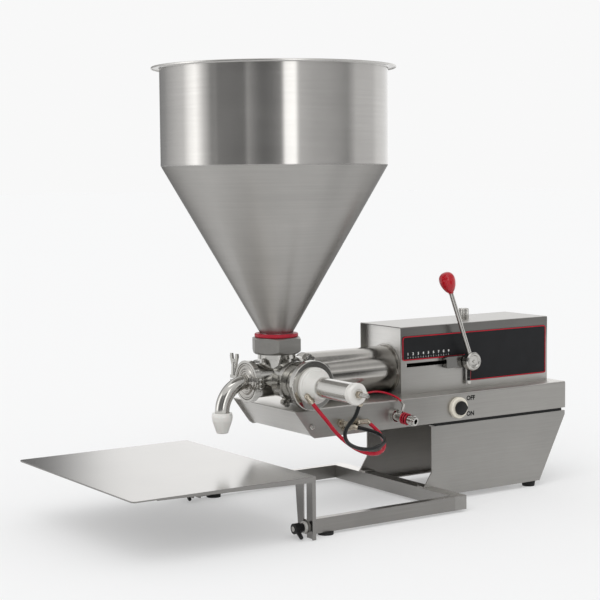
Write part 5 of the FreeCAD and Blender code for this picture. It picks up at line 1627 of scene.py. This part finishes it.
@dataclass(frozen=True)
class Controls:
    """The portion block and lever, the speed knob and the selector."""

    ball_wide: float = 13.4
    ball_foot: float = 4.6
    knob_radius: float = 8.7
    knob_ribs: int = 30
    rib_depth: float = 0.35
    pin_x: float = 342.0
    pin_body: float = 2.95
    pin_tip: float = 3.62
    pin_drop: float = 31.4
    selector_x: float = 294.0
    selector_z: float = 152.7
    pointer: float = 13.4
    words_x: float = 313.0
    off_z: float = 163.0
    on_z: float = 137.0
    word_height: float = 7.4
    word_bold: float = 0.45

    def _ball(self, finishes: Finishes) -> None:
        """Turn the egg-shaped ball on the lever's end.

        Args:
            finishes: the set of materials.
        """
        low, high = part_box("lever_ball")
        rod_low, rod_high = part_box("lever_rod")
        middle = (low + high) / 2
        root = Vector((rod_high.x - 2.5 * MM, middle.y, rod_low.z))
        way = (middle - root).normalized()
        half = ((high.z - low.z) / 2 - self.ball_wide * MM * way.x ** 2) / way.z / MM
        points = []
        rows = 32
        for k in range(rows + 1):
            turn = math.pi * k / rows
            along = -math.cos(turn)
            wide = math.sin(turn) ** 0.92 * (1.0 + 0.26 * along) / 1.035
            foot = self.ball_foot * max(0.0, -along) ** 6 if k else 0.0
            points.append((max(wide * self.ball_wide, foot), along * half, 0.0))
        piece = lathe("lever_ball_egg", points, middle, way, finishes.red_ball, 64, closed=False)
        settle(piece, "lock_lever", "red_plastic", "lever_ball")

    def _speed_knob(self, finishes: Finishes) -> None:
        """Build the knurled steel knob on the box.

        Args:
            finishes: the set of materials.
        """
        low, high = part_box("speed_knob")
        middle = (low + high) / 2
        tall = (high.z - low.z) / MM
        foot = Vector((middle.x, middle.y, low.z))
        made = bmesh.new()
        r = self.knob_radius - 0.1
        profile = [
            (0.0, 0.0, 0.0),
            (r * 0.72, 0.0, 0.0),
            (r * 0.72, 2.2, 0.0),
            (r * 0.97, 2.8, self.rib_depth),
            (r, 3.4, self.rib_depth),
            (r, tall - 2.0, self.rib_depth),
            (r * 0.97, tall - 1.2, self.rib_depth),
            (r * 0.90, tall - 0.4, 0.0),
            (r * 0.8, tall, 0.0),
            (0.0, tall, 0.0),
        ]
        rings = []
        for radius, z, depth in profile:
            level = foot + UP * z * MM
            if radius == 0.0:
                rings.append([made.verts.new(level)])
                continue
            rings.append(circle(made, self.knob_ribs * 6, lambda turn: level + Vector(
                (math.cos(turn), math.sin(turn), 0)) * (
                    radius - depth * (1 + math.cos(self.knob_ribs * turn))) * MM))
        bridge(made, rings)
        piece = close_up(made, "speed_knob_ribbed", finishes.bright, 40.0)
        settle(piece, "speed_knob", "cylinder_steel", "speed_knob")

    def _hub(self, finishes: Finishes) -> None:
        """Turn the lever's polished hub with its dished face and the lock stud behind it.

        Args:
            finishes: the set of materials.
        """
        low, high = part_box("lever_hub")
        middle = (low + high) / 2
        origin = Vector((middle.x, high.y, middle.z))
        r = (high.x - low.x) / 2 / MM
        total = (high.y - low.y) / MM
        foot = total - 15.0
        points = [
            (0.0, 0.0, 0.0),
            (2.9, 0.0, 0.5),
            (2.9, foot, 0.2),
            (r - 2.4, foot, 0.4),
            (r, foot + 2.2, 0.8),
            (r, total - 2.6, 0.8),
            (r - 2.2, total - 0.4, 0.9),
            (r - 3.6, total, 0.5),
            (r - 5.0, total - 0.6, 0.8),
            (r - 6.4, total - 2.4, 0.9),
            (2.6, total - 2.8, 0.5),
            (2.2, total - 1.2, 0.5),
            (0.0, total - 1.2, 0.0),
        ]
        piece = lathe("lever_hub_turned", points, origin, NEARWARDS, finishes.bright, 96, closed=False)
        settle(piece, "lock_lever", "cylinder_steel", "lever_hub")

    def _pin(self, finishes: Finishes) -> None:
        """Sleeve the hanging stop pin in black, with a white ball tip.

        Args:
            finishes: the set of materials.
        """
        low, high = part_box("slide_block")
        origin = Vector((at(self.pin_x, 0, 0).x, (low.y + high.y) / 2, low.z))
        tip = [(0.0, 0.0, 0.0)]
        for k in range(1, 9):
            turn = math.pi / 2 * k / 8
            tip.append((self.pin_tip * math.sin(turn), self.pin_tip * (1 - math.cos(turn)), 0.0))
        tip += [(self.pin_tip, 7.2, 0.5), (0.0, 7.2, 0.0)]
        piece = lathe("stop_pin_tip", tip, origin, UP, finishes.white, 48, closed=False)
        settle(piece, "portion_block", "white_plastic")
        sleeve = [
            (0.0, 7.3, 0.0),
            (self.pin_body, 7.3, 0.3),
            (self.pin_body, 12.0, 0.2),
            (self.pin_body - 0.35, 12.6, 0.2),
            (self.pin_body, 13.2, 0.2),
            (self.pin_body, self.pin_drop, 0.2),
            (0.0, self.pin_drop, 0.0),
        ]
        piece = lathe("stop_pin_sleeve", sleeve, origin, UP, finishes.black, 48, closed=False)
        settle(piece, "portion_block", "black_plastic")

    def _selector(self, finishes: Finishes) -> None:
        """Build the black selector with its pointed side and white index line.

        Args:
            finishes: the set of materials.
        """
        low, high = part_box("selector_knob")
        centre = at(self.selector_x, 0, self.selector_z)
        r = centre.x - low.x
        reach = self.pointer
        outline = []
        spread = math.acos(r / MM / reach) * 1.35
        count = 60
        for k in range(count + 1):
            turn = spread + (2 * math.pi - 2 * spread) * k / count
            outline.append((r / MM * math.cos(turn), r / MM * math.sin(turn)))
        outline += [(reach - 0.3, -1.2), (reach - 0.3, 1.2)]
        thick = 4.0
        face = Vector((centre.x, low.y + thick * MM, centre.z))
        knob = extruded("selector_knob_body", outline, face, ALONG, UP, thick, 0.7,
                        finishes.black)
        settle(knob, "selector", "black_plastic", "selector_knob")
        line = [(6.0, -0.45), (reach - 1.6, -0.45), (reach - 1.6, 0.45), (6.0, 0.45)]
        face = Vector((centre.x, low.y + 0.5 * MM, centre.z))
        mark = extruded("selector_index", line, face, ALONG, UP, 0.45, 0.1,
                        finishes.print_white)
        settle(mark, "selector", "white_plastic")

    def _words(self, finishes: Finishes) -> None:
        """Print the selector's two positions on the tray.

        Args:
            finishes: the set of materials.
        """
        for name, words, z in (("word_off", "OFF", self.off_z), ("word_on", "ON", self.on_z)):
            spot = at(self.words_x, 0, z)
            spot.y = DATUM.tray_near - 0.02 * MM
            letter(name, words, spot, self.word_height, finishes.print_black, "sheet_steel", "LEFT",
                   bold=self.word_bold)

    def build(self, finishes: Finishes) -> None:
        """Build and dress the controls.

        Args:
            finishes: the set of materials.
        """
        dress(finishes, Finish.BRIGHT, "lever_rod")
        dress(finishes, Finish.BLOCK, "slide_block")
        dress(finishes, Finish.BLACK, "portion_sensor")
        dress(finishes, Finish.CREAM, "selector_bezel")
        self._ball(finishes)
        self._hub(finishes)
        self._pin(finishes)
        self._selector(finishes)
        self._speed_knob(finishes)
        self._words(finishes)


@dataclass(frozen=True)
class Stand:
    """The tray, the pedestal, the frame on the table and the work plate."""

    def build(self, finishes: Finishes) -> None:
        """Dress the sheet metal and the frame.

        Args:
            finishes: the set of materials.
        """
        dress(finishes, Finish.TRAY, "tray")
        dress(finishes, Finish.SHEET_X, "pedestal_panel_near")
        # the far panel gets the lighter copy of the sheet steel, painted light for its shaded inner side
        dress(finishes, Finish.FAR_PANEL, "pedestal_panel_far")
        dress(finishes, Finish.SHEET_Y, "tray_front_panel", "pedestal_rear_plate")
        dress(finishes, Finish.FRAME_X, "frame_arms")
        dress(finishes, Finish.FRAME_Y, "frame_cross_bar")
        dress(finishes, Finish.PLATE, "work_plate")
        dress(finishes, Finish.BLACK_RUBBER, "rubber_pads")
        dress(finishes, Finish.WHITE, "lever_washers")
        dress(finishes, Finish.BLACK, "clamp_lever_near", "clamp_lever_far")


@dataclass(frozen=True)
class Tube:
    """One air tube, laid through its route's points in millimetres."""

    name: str
    node: str
    slot: str
    diameter: float
    length: float
    stiffness: str
    points: tuple[tuple[float, float, float], ...]

    def lay(self, material: bpy.types.Material) -> bpy.types.Object:
        """Lay the tube.

        Args:
            material: its finish.

        Returns:
            The tube's curve.
        """
        curve = bpy.data.curves.new(self.name, "CURVE")
        curve.dimensions = "3D"
        curve.resolution_u = 16
        curve.bevel_depth = self.diameter * MM / 2
        curve.bevel_resolution = 6
        curve.use_fill_caps = True
        spline = curve.splines.new("NURBS")
        spline.points.add(len(self.points) - 1)
        for point, spot in zip(spline.points, self.points):
            place = at(*spot)
            point.co = (place.x, place.y, place.z, 1.0)
        spline.order_u = 3
        spline.use_endpoint_u = True
        curve.materials.append(material)
        piece = bpy.data.objects.new(self.name, curve)
        bpy.context.scene.collection.objects.link(piece)
        settle(piece, "machine", self.slot, self.node)
        return piece


@dataclass(frozen=True)
class Air:
    """The air tubes, the elbows and the inlet coupler."""

    red: Tube = Tube("air_tube_red", "red_tube", "red_tube", 6.0, 216.1, "medium", (
        (-14, -121, 191), (-4, -127, 176), (7, -131, 162), (18, -134, 146), (32, -140, 131), (51, -147, 116),
        (76, -150, 107), (101, -144, 108), (115, -131, 119), (116, -116, 133), (106, -104, 146),
    ))
    black: Tube = Tube("air_tube_black", "black_tube", "black_tube", 6.0, 240.8, "medium", (
        (5, -214, 196.5), (1, -213, 182), (-9, -206, 168.5), (-9, -196, 154), (2, -187, 139), (22, -180, 128),
        (49, -175, 121), (78, -168, 122), (100, -153, 126), (107, -133, 132), (99, -113, 138),
        (83, -102, 142),
    ))
    thin: Tube = Tube("air_tube_thin", "thin_tube", "red_tube", 3.2, 67.0, "limp", (
        (143, -47, 185), (152, -51, 187), (162, -59, 186.5), (169, -70, 184), (171.5, -83, 181),
        (172, -93, 178), (172, -99, 174),
    ))

    def build(self, finishes: Finishes) -> None:
        """Lay the tubes and dress their fittings.

        Args:
            finishes: the set of materials.
        """
        self.red.lay(finishes.red_tube)
        self.black.lay(finishes.black_tube)
        self.thin.lay(finishes.red_tube)
        dress(finishes, Finish.BRASS, "bulkhead_elbows")
        dress(finishes, Finish.BRIGHT, "air_coupler")
        dress(finishes, Finish.RED_RUBBER, "coupler_rings")


def plain(bounds: Iterable[Iterable[float]]) -> list[list[float]]:
    """Return two corners as plain lists of numbers."""
    return [[float(value) for value in corner] for corner in bounds]


def main() -> None:
    """Build the room, then dress the machine piece by piece."""
    logging.basicConfig(level=logging.INFO, format="%(name)s: %(message)s")
    Studio().build()
    finishes = Finishes.make()
    for assembly in (Air(), Hopper(), Valve(), Cylinder(), Spout(), Box(), Controls(), Stand()):
        assembly.build(finishes)
        log.info("%s is done", type(assembly).__name__)


if __name__ == "__main__":
    main()
